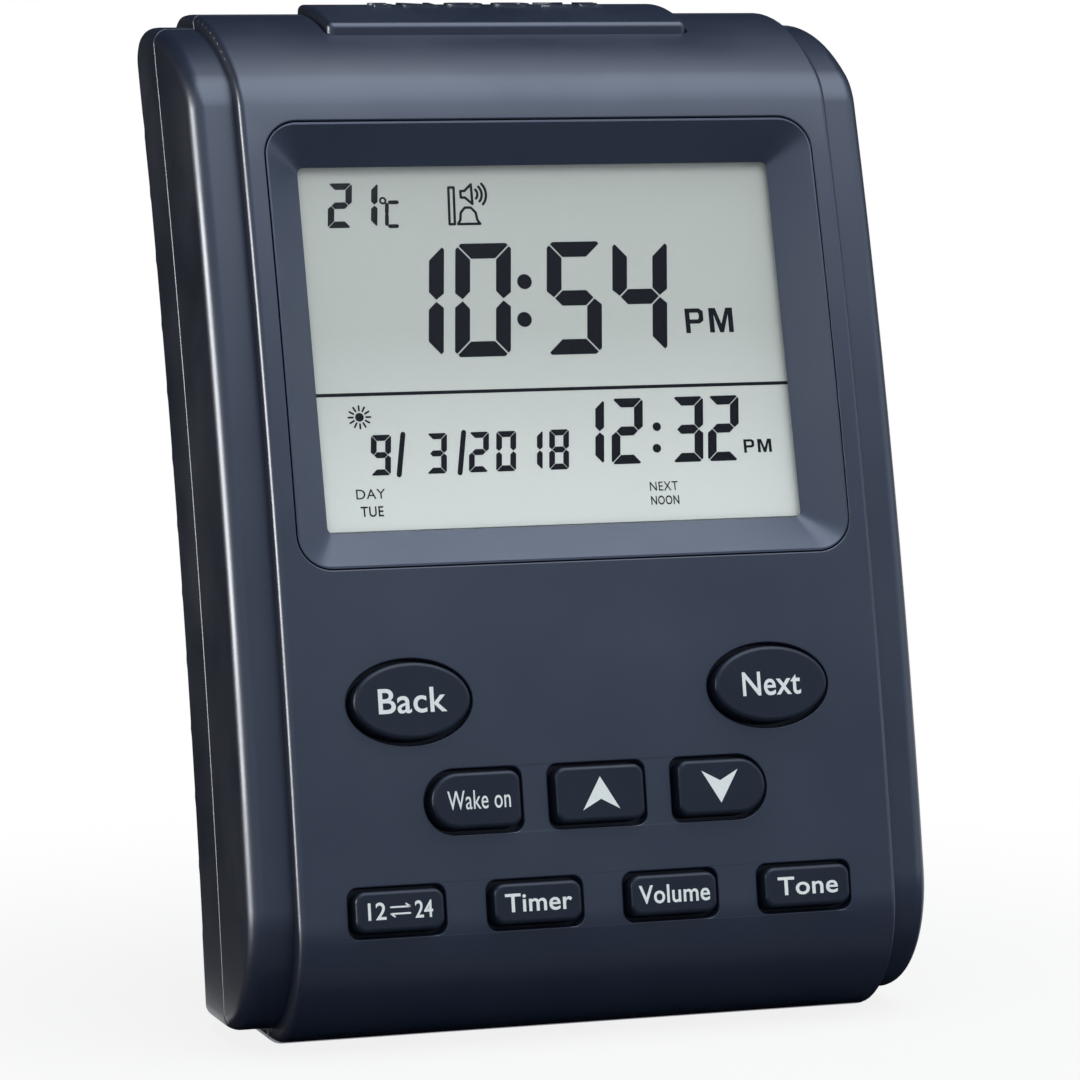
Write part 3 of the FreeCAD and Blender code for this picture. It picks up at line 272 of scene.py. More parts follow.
def noise(tree, coordinates, scale, detail):
    node = place_node(tree, "ShaderNodeTexNoise")
    node.inputs["Detail"].default_value = detail
    tree.links.new(coordinates, node.inputs["Vector"])
    if isinstance(scale, float):
        node.inputs["Scale"].default_value = scale
    else:
        tree.links.new(scale, node.inputs["Scale"])
    return node.outputs["Fac"]


def grain_group():
    """Spark-eroded grain of a moulded or painted face, with slow changes of gloss and tone."""
    group = bpy.data.node_groups.new("Moulded grain", "ShaderNodeTree")
    add_socket(group, "Colour", "NodeSocketColor", (0.5, 0.5, 0.5, 1))
    add_socket(group, "Tone Spread", "NodeSocketFloat", 0.06)
    add_socket(group, "Roughness", "NodeSocketFloat", 0.5)
    add_socket(group, "Gloss Spread", "NodeSocketFloat", 0.06)
    add_socket(group, "Grain Scale", "NodeSocketFloat", 4000.0)
    add_socket(group, "Colour", "NodeSocketColor", output=True)
    add_socket(group, "Roughness", "NodeSocketFloat", output=True)
    add_socket(group, "Height", "NodeSocketFloat", output=True)
    entry = place_node(group, "NodeGroupInput")
    leave = place_node(group, "NodeGroupOutput")
    where = place_node(group, "ShaderNodeTexCoord").outputs["Object"]
    fine = noise(group, where, entry.outputs["Grain Scale"], 2.0)
    speck = noise(group, where, 1600.0, 1.0)
    cloud = noise(group, where, 55.0, 3.0)
    height = math_node(group, "ADD", fine, math_node(group, "MULTIPLY", speck, 0.35))
    spread = entry.outputs["Gloss Spread"]
    low = math_node(group, "SUBTRACT", entry.outputs["Roughness"], spread)
    high = math_node(group, "ADD", entry.outputs["Roughness"], spread)
    group.links.new(map_range(group, cloud, low, high), leave.inputs["Roughness"])
    group.links.new(height, leave.inputs["Height"])
    tone = entry.outputs["Tone Spread"]
    both = math_node(group, "ADD", math_node(group, "MULTIPLY", cloud, 0.6),
                     math_node(group, "MULTIPLY", speck, 0.4))
    darkest = math_node(group, "SUBTRACT", 1.0, tone)
    lightest = math_node(group, "ADD", 1.0, tone)
    change = map_range(group, both, darkest, lightest)
    shade = place_node(group, "ShaderNodeVectorMath", operation="SCALE")
    group.links.new(entry.outputs["Colour"], shade.inputs[0])
    group.links.new(change, shade.inputs["Scale"])
    group.links.new(shade.outputs["Vector"], leave.inputs["Colour"])
    return group


def brushed_group():
    """Fine drawn lines of rolled or turned metal, with duller patches."""
    group = bpy.data.node_groups.new("Drawn metal", "ShaderNodeTree")
    add_socket(group, "Colour", "NodeSocketColor", (0.6, 0.6, 0.6, 1))
    add_socket(group, "Roughness", "NodeSocketFloat", 0.3)
    add_socket(group, "Stretch", "NodeSocketVector", (600.0, 9000.0, 9000.0))
    add_socket(group, "Colour", "NodeSocketColor", output=True)
    add_socket(group, "Roughness", "NodeSocketFloat", output=True)
    add_socket(group, "Height", "NodeSocketFloat", output=True)
    entry = place_node(group, "NodeGroupInput")
    leave = place_node(group, "NodeGroupOutput")
    where = place_node(group, "ShaderNodeTexCoord").outputs["Object"]
    stretch = place_node(group, "ShaderNodeVectorMath", operation="MULTIPLY")
    group.links.new(where, stretch.inputs[0])
    group.links.new(entry.outputs["Stretch"], stretch.inputs[1])
    lines = noise(group, stretch.outputs["Vector"], 1.0, 2.0)
    patch = noise(group, where, 380.0, 3.0)
    low = math_node(group, "MULTIPLY", entry.outputs["Roughness"], 0.7)
    high = math_node(group, "MULTIPLY", entry.outputs["Roughness"], 1.4)
    group.links.new(map_range(group, patch, low, high), leave.inputs["Roughness"])
    group.links.new(lines, leave.inputs["Height"])
    shade = place_node(group, "ShaderNodeVectorMath", operation="SCALE")
    group.links.new(entry.outputs["Colour"], shade.inputs[0])
    group.links.new(map_range(group, patch, 0.82, 1.0), shade.inputs["Scale"])
    group.links.new(shade.outputs["Vector"], leave.inputs["Colour"])
    return group


def shared_group(name, maker):
    return bpy.data.node_groups.get(name) or maker()


def blank_material(name):
    """New material with only a Principled shader and its output."""
    material = bpy.data.materials.new(name)
    material.use_nodes = True
    tree = material.node_tree
    tree.nodes.clear()
    output = place_node(tree, "ShaderNodeOutputMaterial")
    shader = place_node(tree, "ShaderNodeBsdfPrincipled")
    tree.links.new(shader.outputs["BSDF"], output.inputs["Surface"])
    return material, tree, shader


def use_group(tree, shader, group, bump_distance, **values):
    """Places a shared effect and joins it to the shader."""
    effect = place_node(tree, "ShaderNodeGroup", node_tree=group)
    for name, value in values.items():
        effect.inputs[name.replace("_", " ")].default_value = value
    bump = place_node(tree, "ShaderNodeBump")
    bump.inputs["Distance"].default_value = bump_distance
    bump.inputs["Strength"].default_value = 1.0
    tree.links.new(effect.outputs["Height"], bump.inputs["Height"])
    tree.links.new(bump.outputs["Normal"], shader.inputs["Normal"])
    tree.links.new(effect.outputs["Roughness"], shader.inputs["Roughness"])
    tree.links.new(effect.outputs["Colour"], shader.inputs["Base Color"])
    return effect


def opaque(colour):
    return (*colour, 1.0)


def moulded_material(name, colour, roughness, specular=0.5, grain=4000.0, depth=0.004,
                     tone=0.06, gloss=0.05, sheen=(1, 1, 1)):
    """Moulded plastic or rubber; depth is the grain's depth in millimetres."""
    material, tree, shader = blank_material(name)
    shader.inputs["Specular IOR Level"].default_value = specular
    shader.inputs["Specular Tint"].default_value = opaque(sheen)
    use_group(tree, shader, shared_group("Moulded grain", grain_group), depth * MM,
              Colour=opaque(colour), Roughness=roughness, Grain_Scale=grain,
              Tone_Spread=tone, Gloss_Spread=gloss)
    return material


def metal_material(name, colour, roughness, stretch=(600.0, 9000.0, 9000.0)):
    """Drawn or plated metal."""
    material, tree, shader = blank_material(name)
    shader.inputs["Metallic"].default_value = 1.0
    use_group(tree, shader, shared_group("Drawn metal", brushed_group), 0.001 * MM,
              Colour=opaque(colour), Roughness=roughness, Stretch=stretch)
    return material


def display_material(finish):
    """Grey reflective face of the liquid crystal cell, with painted shade: darker at its upper edge,
    lighter towards its lower edge.
    """
    material, tree, shader = blank_material("Liquid crystal face")
    effect = use_group(tree, shader, shared_group("Moulded grain", grain_group), 0.0004 * MM,
                       Roughness=0.55, Grain_Scale=9000.0, Tone_Spread=0.012, Gloss_Spread=0.03)
    shader.inputs["Specular IOR Level"].default_value = 0.1
    low, high = node_corners("lcd_cell")
    split = place_node(tree, "ShaderNodeSeparateXYZ")
    tree.links.new(place_node(tree, "ShaderNodeTexCoord").outputs["Object"], split.inputs[0])
    rise = place_node(tree, "ShaderNodeMapRange")
    rise.inputs["From Min"].default_value = low.z
    rise.inputs["From Max"].default_value = low.z + 0.55 * (high.z - low.z)
    tree.links.new(split.outputs["Z"], rise.inputs["Value"])
    # Painted shade and light: the colour runs from lighter at the lower edge to darker over the upper half,
    # standing in for how light falls across the display
    ramp = place_node(tree, "ShaderNodeValToRGB")
    ramp.color_ramp.elements[0].color = opaque(finish.display_bottom_lit)
    ramp.color_ramp.elements[1].color = opaque(finish.display_top_shaded)
    tree.links.new(rise.outputs["Result"], ramp.inputs["Fac"])
    tree.links.new(ramp.outputs["Color"], effect.inputs["Colour"])
    return material


def window_material():
    """Clear pane that also lets the lamps through to the display behind it."""
    material, tree, shader = blank_material("Clear window")
    shader.inputs["Base Color"].default_value = (1, 1, 1, 1)
    shader.inputs["Roughness"].default_value = 0.04
    shader.inputs["IOR"].default_value = 1.3
    shader.inputs["Transmission Weight"].default_value = 1.0
    output = next(node for node in tree.nodes if node.type == "OUTPUT_MATERIAL")
    path = place_node(tree, "ShaderNodeLightPath")
    clear = place_node(tree, "ShaderNodeBsdfTransparent")
    choose = place_node(tree, "ShaderNodeMixShader")
    either = math_node(tree, "MAXIMUM", path.outputs["Is Shadow Ray"], path.outputs["Is Diffuse Ray"])
    tree.links.new(either, choose.inputs["Fac"])
    tree.links.new(shader.outputs["BSDF"], choose.inputs[1])
    tree.links.new(clear.outputs["BSDF"], choose.inputs[2])
    tree.links.new(choose.outputs["Shader"], output.inputs["Surface"])
    return material


def ink_material(name, colour, roughness, specular):
    """Printed ink, slightly uneven."""
    return moulded_material(name, colour, roughness, specular, grain=7000.0, depth=0.001, tone=0.05)


def board_material():
    """Green solder mask over faint copper tracks."""
    material, tree, shader = blank_material("Solder mask")
    effect = use_group(tree, shader, shared_group("Moulded grain", grain_group), 0.002 * MM,
                       Roughness=0.32, Grain_Scale=2500.0, Tone_Spread=0.08, Gloss_Spread=0.06)
    tracks = place_node(tree, "ShaderNodeTexBrick")
    tracks.inputs["Color1"].default_value = (0.010, 0.085, 0.030, 1)
    tracks.inputs["Color2"].default_value = (0.014, 0.110, 0.040, 1)
    tracks.inputs["Mortar"].default_value = (0.045, 0.22, 0.085, 1)
    tracks.inputs["Scale"].default_value = 130.0
    tracks.inputs["Mortar Size"].default_value = 0.035
    swap = place_node(tree, "ShaderNodeMapping")
    swap.inputs["Rotation"].default_value = (math.radians(90), 0, 0)
    tree.links.new(place_node(tree, "ShaderNodeTexCoord").outputs["Object"], swap.inputs["Vector"])
    tree.links.new(swap.outputs["Vector"], tracks.inputs["Vector"])
    tree.links.new(tracks.outputs["Color"], effect.inputs["Colour"])
    return material


def jacket_material(node, positive_side):
    """Printed battery jacket: two colours split across the cell, with bare metal at both ends."""
    material, tree, shader = blank_material("Battery jacket " + node)
    low, high = node_corners(node)
    effect = use_group(tree, shader, shared_group("Moulded grain", grain_group), 0.001 * MM,
                       Roughness=0.28, Grain_Scale=5000.0, Tone_Spread=0.03, Gloss_Spread=0.05)
    split = place_node(tree, "ShaderNodeSeparateXYZ")
    tree.links.new(place_node(tree, "ShaderNodeTexCoord").outputs["Object"], split.inputs[0])
    along = place_node(tree, "ShaderNodeMapRange")
    along.inputs["From Min"].default_value = low.x if positive_side > 0 else high.x
    along.inputs["From Max"].default_value = high.x if positive_side > 0 else low.x
    tree.links.new(split.outputs["X"], along.inputs["Value"])
    bands = place_node(tree, "ShaderNodeValToRGB")
    bands.color_ramp.interpolation = "CONSTANT"
    stops = bands.color_ramp.elements
    stops[0].color = (0.62, 0.62, 0.60, 1)
    stops[1].position = 0.025
    stops[1].color = (0.03, 0.03, 0.035, 1)
    stripe = (0.66, (0.30, 0.30, 0.31))
    blue = (0.69, (0.05, 0.12, 0.30))
    bare_metal = (0.955, (0.62, 0.62, 0.60))
    for position, colour in (stripe, blue, bare_metal):
        stops.new(position).color = opaque(colour)
    tree.links.new(along.outputs["Result"], bands.inputs["Fac"])
    tree.links.new(bands.outputs["Color"], effect.inputs["Colour"])
    ends = place_node(tree, "ShaderNodeValToRGB")
    ends.color_ramp.interpolation = "CONSTANT"
    ends.color_ramp.elements[0].color = (1, 1, 1, 1)
    ends.color_ramp.elements[1].position = 0.025
    ends.color_ramp.elements[1].color = (0, 0, 0, 1)
    ends.color_ramp.elements.new(0.955).color = (1, 1, 1, 1)
    tree.links.new(along.outputs["Result"], ends.inputs["Fac"])
    tree.links.new(ends.outputs["Color"], shader.inputs["Metallic"])
    return material


def dress(node, material):
    """Gives a CAD node its finish."""
    slots = NODES[node].material_slots
    for slot in slots:
        slot.material = material


def merged_copy(node):
    """A node's mesh with the points that its faces share made one."""
    bm = bmesh.new()
    bm.from_mesh(NODES[node].data)
    bmesh.ops.remove_doubles(bm, verts=bm.verts, dist=SAME_POINT)
    return bm


def smooth_skin(node, body, material):
    """A merged copy of a CAD node, whose gloss runs on evenly where one curved face meets the next."""
    mesh = finish_mesh(merged_copy(node), node + "_skin")
    if "custom_normal" in mesh.attributes:
        mesh.attributes.remove(mesh.attributes["custom_normal"])
    mesh.shade_smooth()
    mesh.set_sharp_from_angle(angle=SHARP_EDGE)
    skin = mesh_object(node + "_skin", mesh, material, body)
    weighting = skin.modifiers.new("Weighted normals", "WEIGHTED_NORMAL")
    weighting.mode = "FACE_AREA_WITH_ANGLE"
    weighting.keep_sharp = True
    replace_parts(skin, node)


def faces_of(node, chosen, name):
    """The faces of a node that pass a test, merged, with the gap they leave closed."""
    bm = merged_copy(node)
    others = [face for face in bm.faces if not chosen(face)]
    bmesh.ops.delete(bm, geom=others, context="FACES")
    rims = [edge for edge in bm.edges if edge.is_boundary]
    bmesh.ops.holes_fill(bm, edges=rims, sides=0)
    return finish_mesh(bm, name)


def dress_slot(slot_name, material):
    """Gives one finish to every CAD node of a material slot."""
    for node, name in SLOT_OF.items():
        if name == slot_name:
            dress(node, material)


# Display marks

SEGMENTS_LIT = {
    "0": "abcdef", "1": "bc", "2": "abged", "3": "abgcd", "4": "fgbc",
    "5": "afgcd", "6": "afgecd", "7": "abc", "8": "abcdefg", "9": "abcdfg",
}


def segment_outlines(width, height, stroke, gap):
    """Outlines of the seven segments of a digit centred on the origin."""
    x = width / 2
    y = height / 2
    half = stroke / 2
    cut = stroke * 0.3
    top = [(cut - x + gap, y), (x - cut - gap, y), (x - cut / 2 - gap, y - cut / 2),
           (x - stroke - gap, y - stroke), (stroke + gap - x, y - stroke),
           (cut / 2 + gap - x, y - cut / 2)]
    right = [(x, y - cut - gap), (x, half * 0.8 + gap), (x - half, gap), (x - stroke, half + gap),
             (x - stroke, y - stroke - gap), (x - cut / 2, y - cut / 2 - gap)]
    middle = [(half + gap - x, 0), (stroke + gap - x, half), (x - stroke - gap, half),
              (x - half - gap, 0), (x - stroke - gap, -half), (stroke + gap - x, -half)]

    def mirrored(outline, across, down):
        return [(px * across, py * down) for px, py in outline]

    return {
        "a": top, "b": right, "c": mirrored(right, 1, -1), "d": mirrored(top, 1, -1),
        "e": mirrored(right, -1, -1), "f": mirrored(right, -1, 1), "g": middle,
    }


# Plates of two bold letters, each in a box one wide and one high
LETTER_P = (
    ((0, 0), (0.25, 0), (0.25, 1), (0, 1)),
    ((0.25, 0.83), (0.70, 0.83), (0.78, 1), (0.25, 1)),
    ((0.70, 0.55), (0.78, 0.38), (1, 0.5), (1, 0.88),
     (0.78, 1), (0.70, 0.83), (0.76, 0.77), (0.76, 0.61)),
    ((0.25, 0.38), (0.78, 0.38), (0.70, 0.55), (0.25, 0.55)),
)
LETTER_M = (
    ((0, 0), (0.2, 0), (0.2, 0.74), (0.42, 0), (0.58, 0), (0.8, 0.74), (0.8, 0), (1, 0),
     (1, 1), (0.72, 1), (0.5, 0.34), (0.28, 1), (0, 1)),
)


class MarkSheet:
    """Flat dark marks gathered in one mesh, in the display's frame, in metres."""

    def __init__(self, slant, thickness):
        self.bm = bmesh.new()
        self.slant = slant
        self.low = -thickness / 2
        self.high = thickness / 2

    def digit(self, sign, x, y, size, stroke, gap):
        outlines = segment_outlines(size[0], size[1], stroke, gap)
        for name in SEGMENTS_LIT[sign]:
            outline = [(x + px + py * self.slant, y + py) for px, py in outlines[name]]
            add_plate(self.bm, outline, self.low, self.high)

    def bar(self, start, stop, width):
        add_line(self.bm, [start, stop], width, self.low, self.high)

    def line(self, points, width, closed=False):
        add_line(self.bm, points, width, self.low, self.high, closed)

    def dot(self, x, y, radius):
        add_disc(self.bm, x, y, radius, self.low, self.high)

    def plate(self, outline):
        add_plate(self.bm, outline, self.low, self.high)

    def afternoon(self, x, y, width, height):
        """The letters PM, from their lower left corner."""
        for plates, start, share in ((LETTER_P, 0.0, 0.38), (LETTER_M, 0.5, 0.5)):
            for outline in plates:
                points = [(x + (start + px * share) * width, y + py * height) for px, py in outline]
                self.plate(points)

    def words(self, text, x, y, size, weight):
        mesh = text_mesh(text, size, weight, 1.08, self.high - self.low)
        mesh.transform(Matrix.Translation((x, y, 0)))
        self.bm.from_mesh(mesh)
        bpy.data.meshes.remove(mesh)

    def finish(self, name, material, body, lift):
        bmesh.ops.transform(self.bm, matrix=display_matrix() @ Matrix.Translation((0, 0, lift)),
                            verts=self.bm.verts)
        return mesh_object(name, finish_mesh(self.bm, name), material, body)


# Settings

def length_property(name, description, default):
    return FloatProperty(name=name, description=description, default=default, unit="LENGTH", precision=5)


def number_property(name, description, default):
    return FloatProperty(name=name, description=description, default=default)


def words_property(name, description, default):
    return StringProperty(name=name, description=description, default=default)


def colour_property(name, description, default):
    return FloatVectorProperty(name=name, description=description, default=default,
                               size=3, subtype="COLOR", min=0, max=1)


class ClockFinishes(bpy.types.PropertyGroup):
    case_colour: colour_property("Case", "Satin blue-grey of the case", (0.0105, 0.0165, 0.036))
    case_roughness: number_property("Case Roughness", "Gloss of the case", 0.36)
    case_specular: number_property("Case Reflection", "How strongly it reflects", 1.0)
    sheen_colour: colour_property("Sheen", "Tint of the reflections on case and keys", (0.75, 0.825, 1.0))
    bezel_colour: colour_property("Bezel", "Frame round the display", (0.020, 0.029, 0.056))
    key_colour: colour_property("Keys", "Key caps", (0.007, 0.011, 0.022))
    key_roughness: number_property("Key Roughness", "Gloss of the key caps", 0.38)
    print_colour: colour_property("Printing", "Legends on the keys", (0.68, 0.72, 0.72))
    # Painted shade on the display: its top colour is darker than its bottom colour to stand in for the
    # light across it
    display_top_shaded: colour_property("Display Top", "Display colour at its upper edge", (0.487, 0.512, 0.484))
    display_bottom_lit: colour_property("Display Bottom", "Display colour at its lower edge", (0.745, 0.778, 0.75))
    mark_colour: colour_property("Display Marks", "Lit digits and signs", (0.004, 0.006, 0.011))


class ClockDisplay(bpy.types.PropertyGroup):
    time_shown: words_property("Time", "Four digits of the large time", "1054")
    alarm_shown: words_property("Next Time", "Four digits of the small time", "1232")
    date_shown: words_property("Date", "Digits and bars of the date", " 9/ 3/2018")
    warmth_shown: words_property("Temperature", "Two digits", "21")
    slant: number_property("Slant", "Lean of the digits, across per height", 0.094)
    mark_thickness: length_property("Mark Thickness", "Thickness of the marks", 0.00004)
    time_height: length_property("Time Height", "Height of the large digits", 0.0178)
    time_width: length_property("Time Width", "Width of the large digits", 0.0090)
    time_stroke: length_property("Time Stroke", "Stroke of the large digits", 0.0024)
    alarm_height: length_property("Next Time Height", "Height of the small time's digits", 0.0103)
    alarm_width: length_property("Next Time Width", "Width of the small time's digits", 0.0051)
    alarm_stroke: length_property("Next Time Stroke", "Stroke of the small time's digits", 0.00142)
    date_height: length_property("Date Height", "Height of the date's digits", 0.00625)
    date_width: length_property("Date Width", "Width of the date's digits", 0.0032)
    date_stroke: length_property("Date Stroke", "Stroke of the date's digits", 0.00092)
    divider_y: length_property("Divider", "Height of the dividing line over the display's middle", -0.0069)
    divider_width: length_property("Divider Width", "Thickness of the dividing line", 0.00052)


class ClockLegends(bpy.types.PropertyGroup):
    back_text: words_property("Back", "Legend of the left oval key", "Back")
    set_text: words_property("Next", "Legend of the right oval key", "Next")
    alarm_text: words_property("Wake", "Legend of the alarm key", "Wake on")
    timer_text: words_property("Timer", "Legend of the timer key", "Timer")
    sound_text: words_property("Volume", "Legend of the volume key", "Volume")
    tone_text: words_property("Tone", "Legend of the tone key", "Tone")
    print_thickness: length_property("Print Thickness", "Thickness of the ink", 0.00004)
    snooze_text: words_property("Snooze", "Raised word on the snooze bar", "SNOOZE")
    snooze_width: length_property("Snooze Width", "Width of the raised word", 0.038)
    snooze_height: length_property("Snooze Height", "Height of the raised word", 0.0055)
    snooze_rise: length_property("Snooze Rise", "How far the word stands out of the bar", 0.0003)


class ClockStage(bpy.types.PropertyGroup):
    azimuth: FloatProperty(name="Azimuth", description="Turn of the camera round the clock",
                           default=-0.325512, subtype="ANGLE")
    elevation: FloatProperty(name="Elevation", description="Camera angle above the horizon",
                             default=0.112557, subtype="ANGLE")
    distance: length_property("Distance", "Camera to the point it looks at", 0.7659)
    aim: FloatVectorProperty(name="Aim", description="Point the camera looks at",
                             default=(-0.0064175, -0.012, 0.075889), size=3, unit="LENGTH")
    focal_length: number_property("Focal Length", "Camera lens, in millimetres", 168.44)
    floor_colour: colour_property("Floor", "Pale floor", (0.6, 0.6, 0.6))
    floor_white: number_property("Floor White", "Share of plain white in the floor", 0.85)
    sky_left: number_property("Sky Left", "Surroundings at the far left", 0.75)
    sky_front: number_property("Sky Front", "Surroundings ahead of the clock", 0.7)
    sky_low: number_property("Sky Low", "Darker part at the front right", 0.26)
    sky_right: number_property("Sky Right", "Surroundings at the far right", 1.25)
    top_lamp: number_property("Top Lamp", "Soft lamp above the front, in watts", 13.5)
    top_fade_low: number_property("Low Fade", "Where the top lamp's fade ends below", 0.25)
    top_fade_high: number_property("High Fade", "Where its upper fade ends", 0.62)
    side_lamp: number_property("Side Strip", "Strip that edges reflect, in watts", 9.0)


# Operators

class ClockOperator(bpy.types.Operator):
    """Shared parts of the clock's operators."""
    bl_options = {"REGISTER", "UNDO"}

    @property
    def finishes(self):
        return bpy.context.scene.clock_finishes

    @property
    def display(self):
        return bpy.context.scene.clock_display

    @property
    def legends(self):
        return bpy.context.scene.clock_legends


class CLOCK_OT_finish_case(ClockOperator):
    """Finish both shells, the battery door and the case screws"""
    bl_idname = "clock.finish_case"
    bl_label = "Finish Case"

    def execute(self, context):
        look = self.finishes
        shell = moulded_material("Outer satin", look.case_colour, look.case_roughness, look.case_specular,
                                 sheen=look.sheen_colour)
        dress_slot("case_plastic", shell)
        smooth_skin("front_shell", "case", shell)
        dress_slot("screw_steel", metal_material("Zinc screw", (0.55, 0.55, 0.56), 0.34))
        return {"FINISHED"}


class CLOCK_OT_finish_display(ClockOperator):
    """Finish the bezel, the window and the liquid crystal stack"""
    bl_idname = "clock.finish_display"
    bl_label = "Finish Display"

    def execute(self, context):
        look = self.finishes
        bezel = moulded_material("Bezel satin", look.bezel_colour, look.case_roughness, look.case_specular,
                                 sheen=look.sheen_colour)
        dress_slot("bezel_plastic", bezel)
        dress_slot("window_clear", window_material())
        dress_slot("lcd_glass", display_material(look))
        dress_slot("light_plate", moulded_material("Light plate", (0.72, 0.75, 0.78), 0.35, depth=0.002))
        dress_slot("tray_plastic", moulded_material("White tray", (0.62, 0.62, 0.60), 0.5))
        strip = moulded_material("Contact strip rubber", (0.03, 0.03, 0.032), 0.7, grain=2500.0)
        dress_slot("dark_rubber", strip)
        return {"FINISHED"}


class CLOCK_OT_mark_time(ClockOperator):
    """Make the large time on the display"""
    bl_idname = "clock.mark_time"
    bl_label = "Mark Time"

    def execute(self, context):
        shape = self.display
        ink = ink_material("Liquid crystal mark", self.finishes.mark_colour, 0.5, 0.0)
        sheet = MarkSheet(shape.slant, shape.mark_thickness)
        size = (shape.time_width, shape.time_height)
        centre_y = 7.4 * MM
        for sign, x in zip(shape.time_shown, (-20.88, -10.06, 4.77, 15.52)):
            sheet.digit(sign, x * MM, centre_y, size, shape.time_stroke, 0.16 * MM)
        for side in (1, -1):
            rise = 2.98 * MM * side
            sheet.dot(-3.38 * MM + rise * shape.slant, 7.15 * MM + rise, 1.18 * MM)
        sheet.afternoon(22.65 * MM, 1.4 * MM, 7.9 * MM, 3.9 * MM)
        sheet.finish("display_time", ink, "case", shape.mark_thickness / 4)
        return {"FINISHED"}


class CLOCK_OT_mark_lower_row(ClockOperator):
    """Make the date, the next time and the dividing line on the display"""
    bl_idname = "clock.mark_lower_row"
    bl_label = "Mark Lower Row"

    def execute(self, context):
        shape = self.display
        ink = bpy.data.materials["Liquid crystal mark"]
        low, high = node_corners("display_window")
        half_width = (high.x - low.x) / 2
        sheet = MarkSheet(shape.slant, shape.mark_thickness)
        sheet.bar((-half_width, shape.divider_y), (half_width, shape.divider_y), shape.divider_width)
        size = (shape.alarm_width, shape.alarm_height)
        centre_y = -13.8 * MM
        for sign, x in zip(shape.alarm_shown, (5.02, 11.36, 21.31, 27.20)):
            sheet.digit(sign, x * MM, centre_y, size, shape.alarm_stroke, 0.09 * MM)
        for side in (1, -1):
            rise = 1.7 * MM * side
            sheet.dot(16.1 * MM + rise * shape.slant, -14.95 * MM + rise, 0.68 * MM)
        sheet.afternoon(30.3 * MM, -17.8 * MM, 4.6 * MM, 2.1 * MM)
        size = (shape.date_width, shape.date_height)
        centre_y = -16.35 * MM
        places = (None, -28.57, -25.37, None, -19.66, -15.67, -12.93, -8.55, -4.26, 0.01)
        for sign, x in zip(shape.date_shown, places):
            if sign == "/":
                run = shape.date_height / 2
                lean = run * (shape.slant + 0.09)
                sheet.bar((x * MM - lean, centre_y - run), (x * MM + lean, centre_y + run), 0.8 * MM)
            elif sign != " ":
                sheet.digit(sign, x * MM, centre_y, size, shape.date_stroke, 0.06 * MM)
        sheet.finish("display_lower_row", ink, "case", shape.mark_thickness / 4)
        return {"FINISHED"}


def arc_points(x, y, radius, start, stop, count):
    """Flat points along an arc, with angles in degrees."""
    points = []
    for index in range(count):
        angle = math.radians(start + (stop - start) * index / (count - 1))
        points.append((x + radius * math.cos(angle), y + radius * math.sin(angle)))
    return points


def scaled(points, scale, x, y):
    return [(x + px * scale, y + py * scale) for px, py in points]


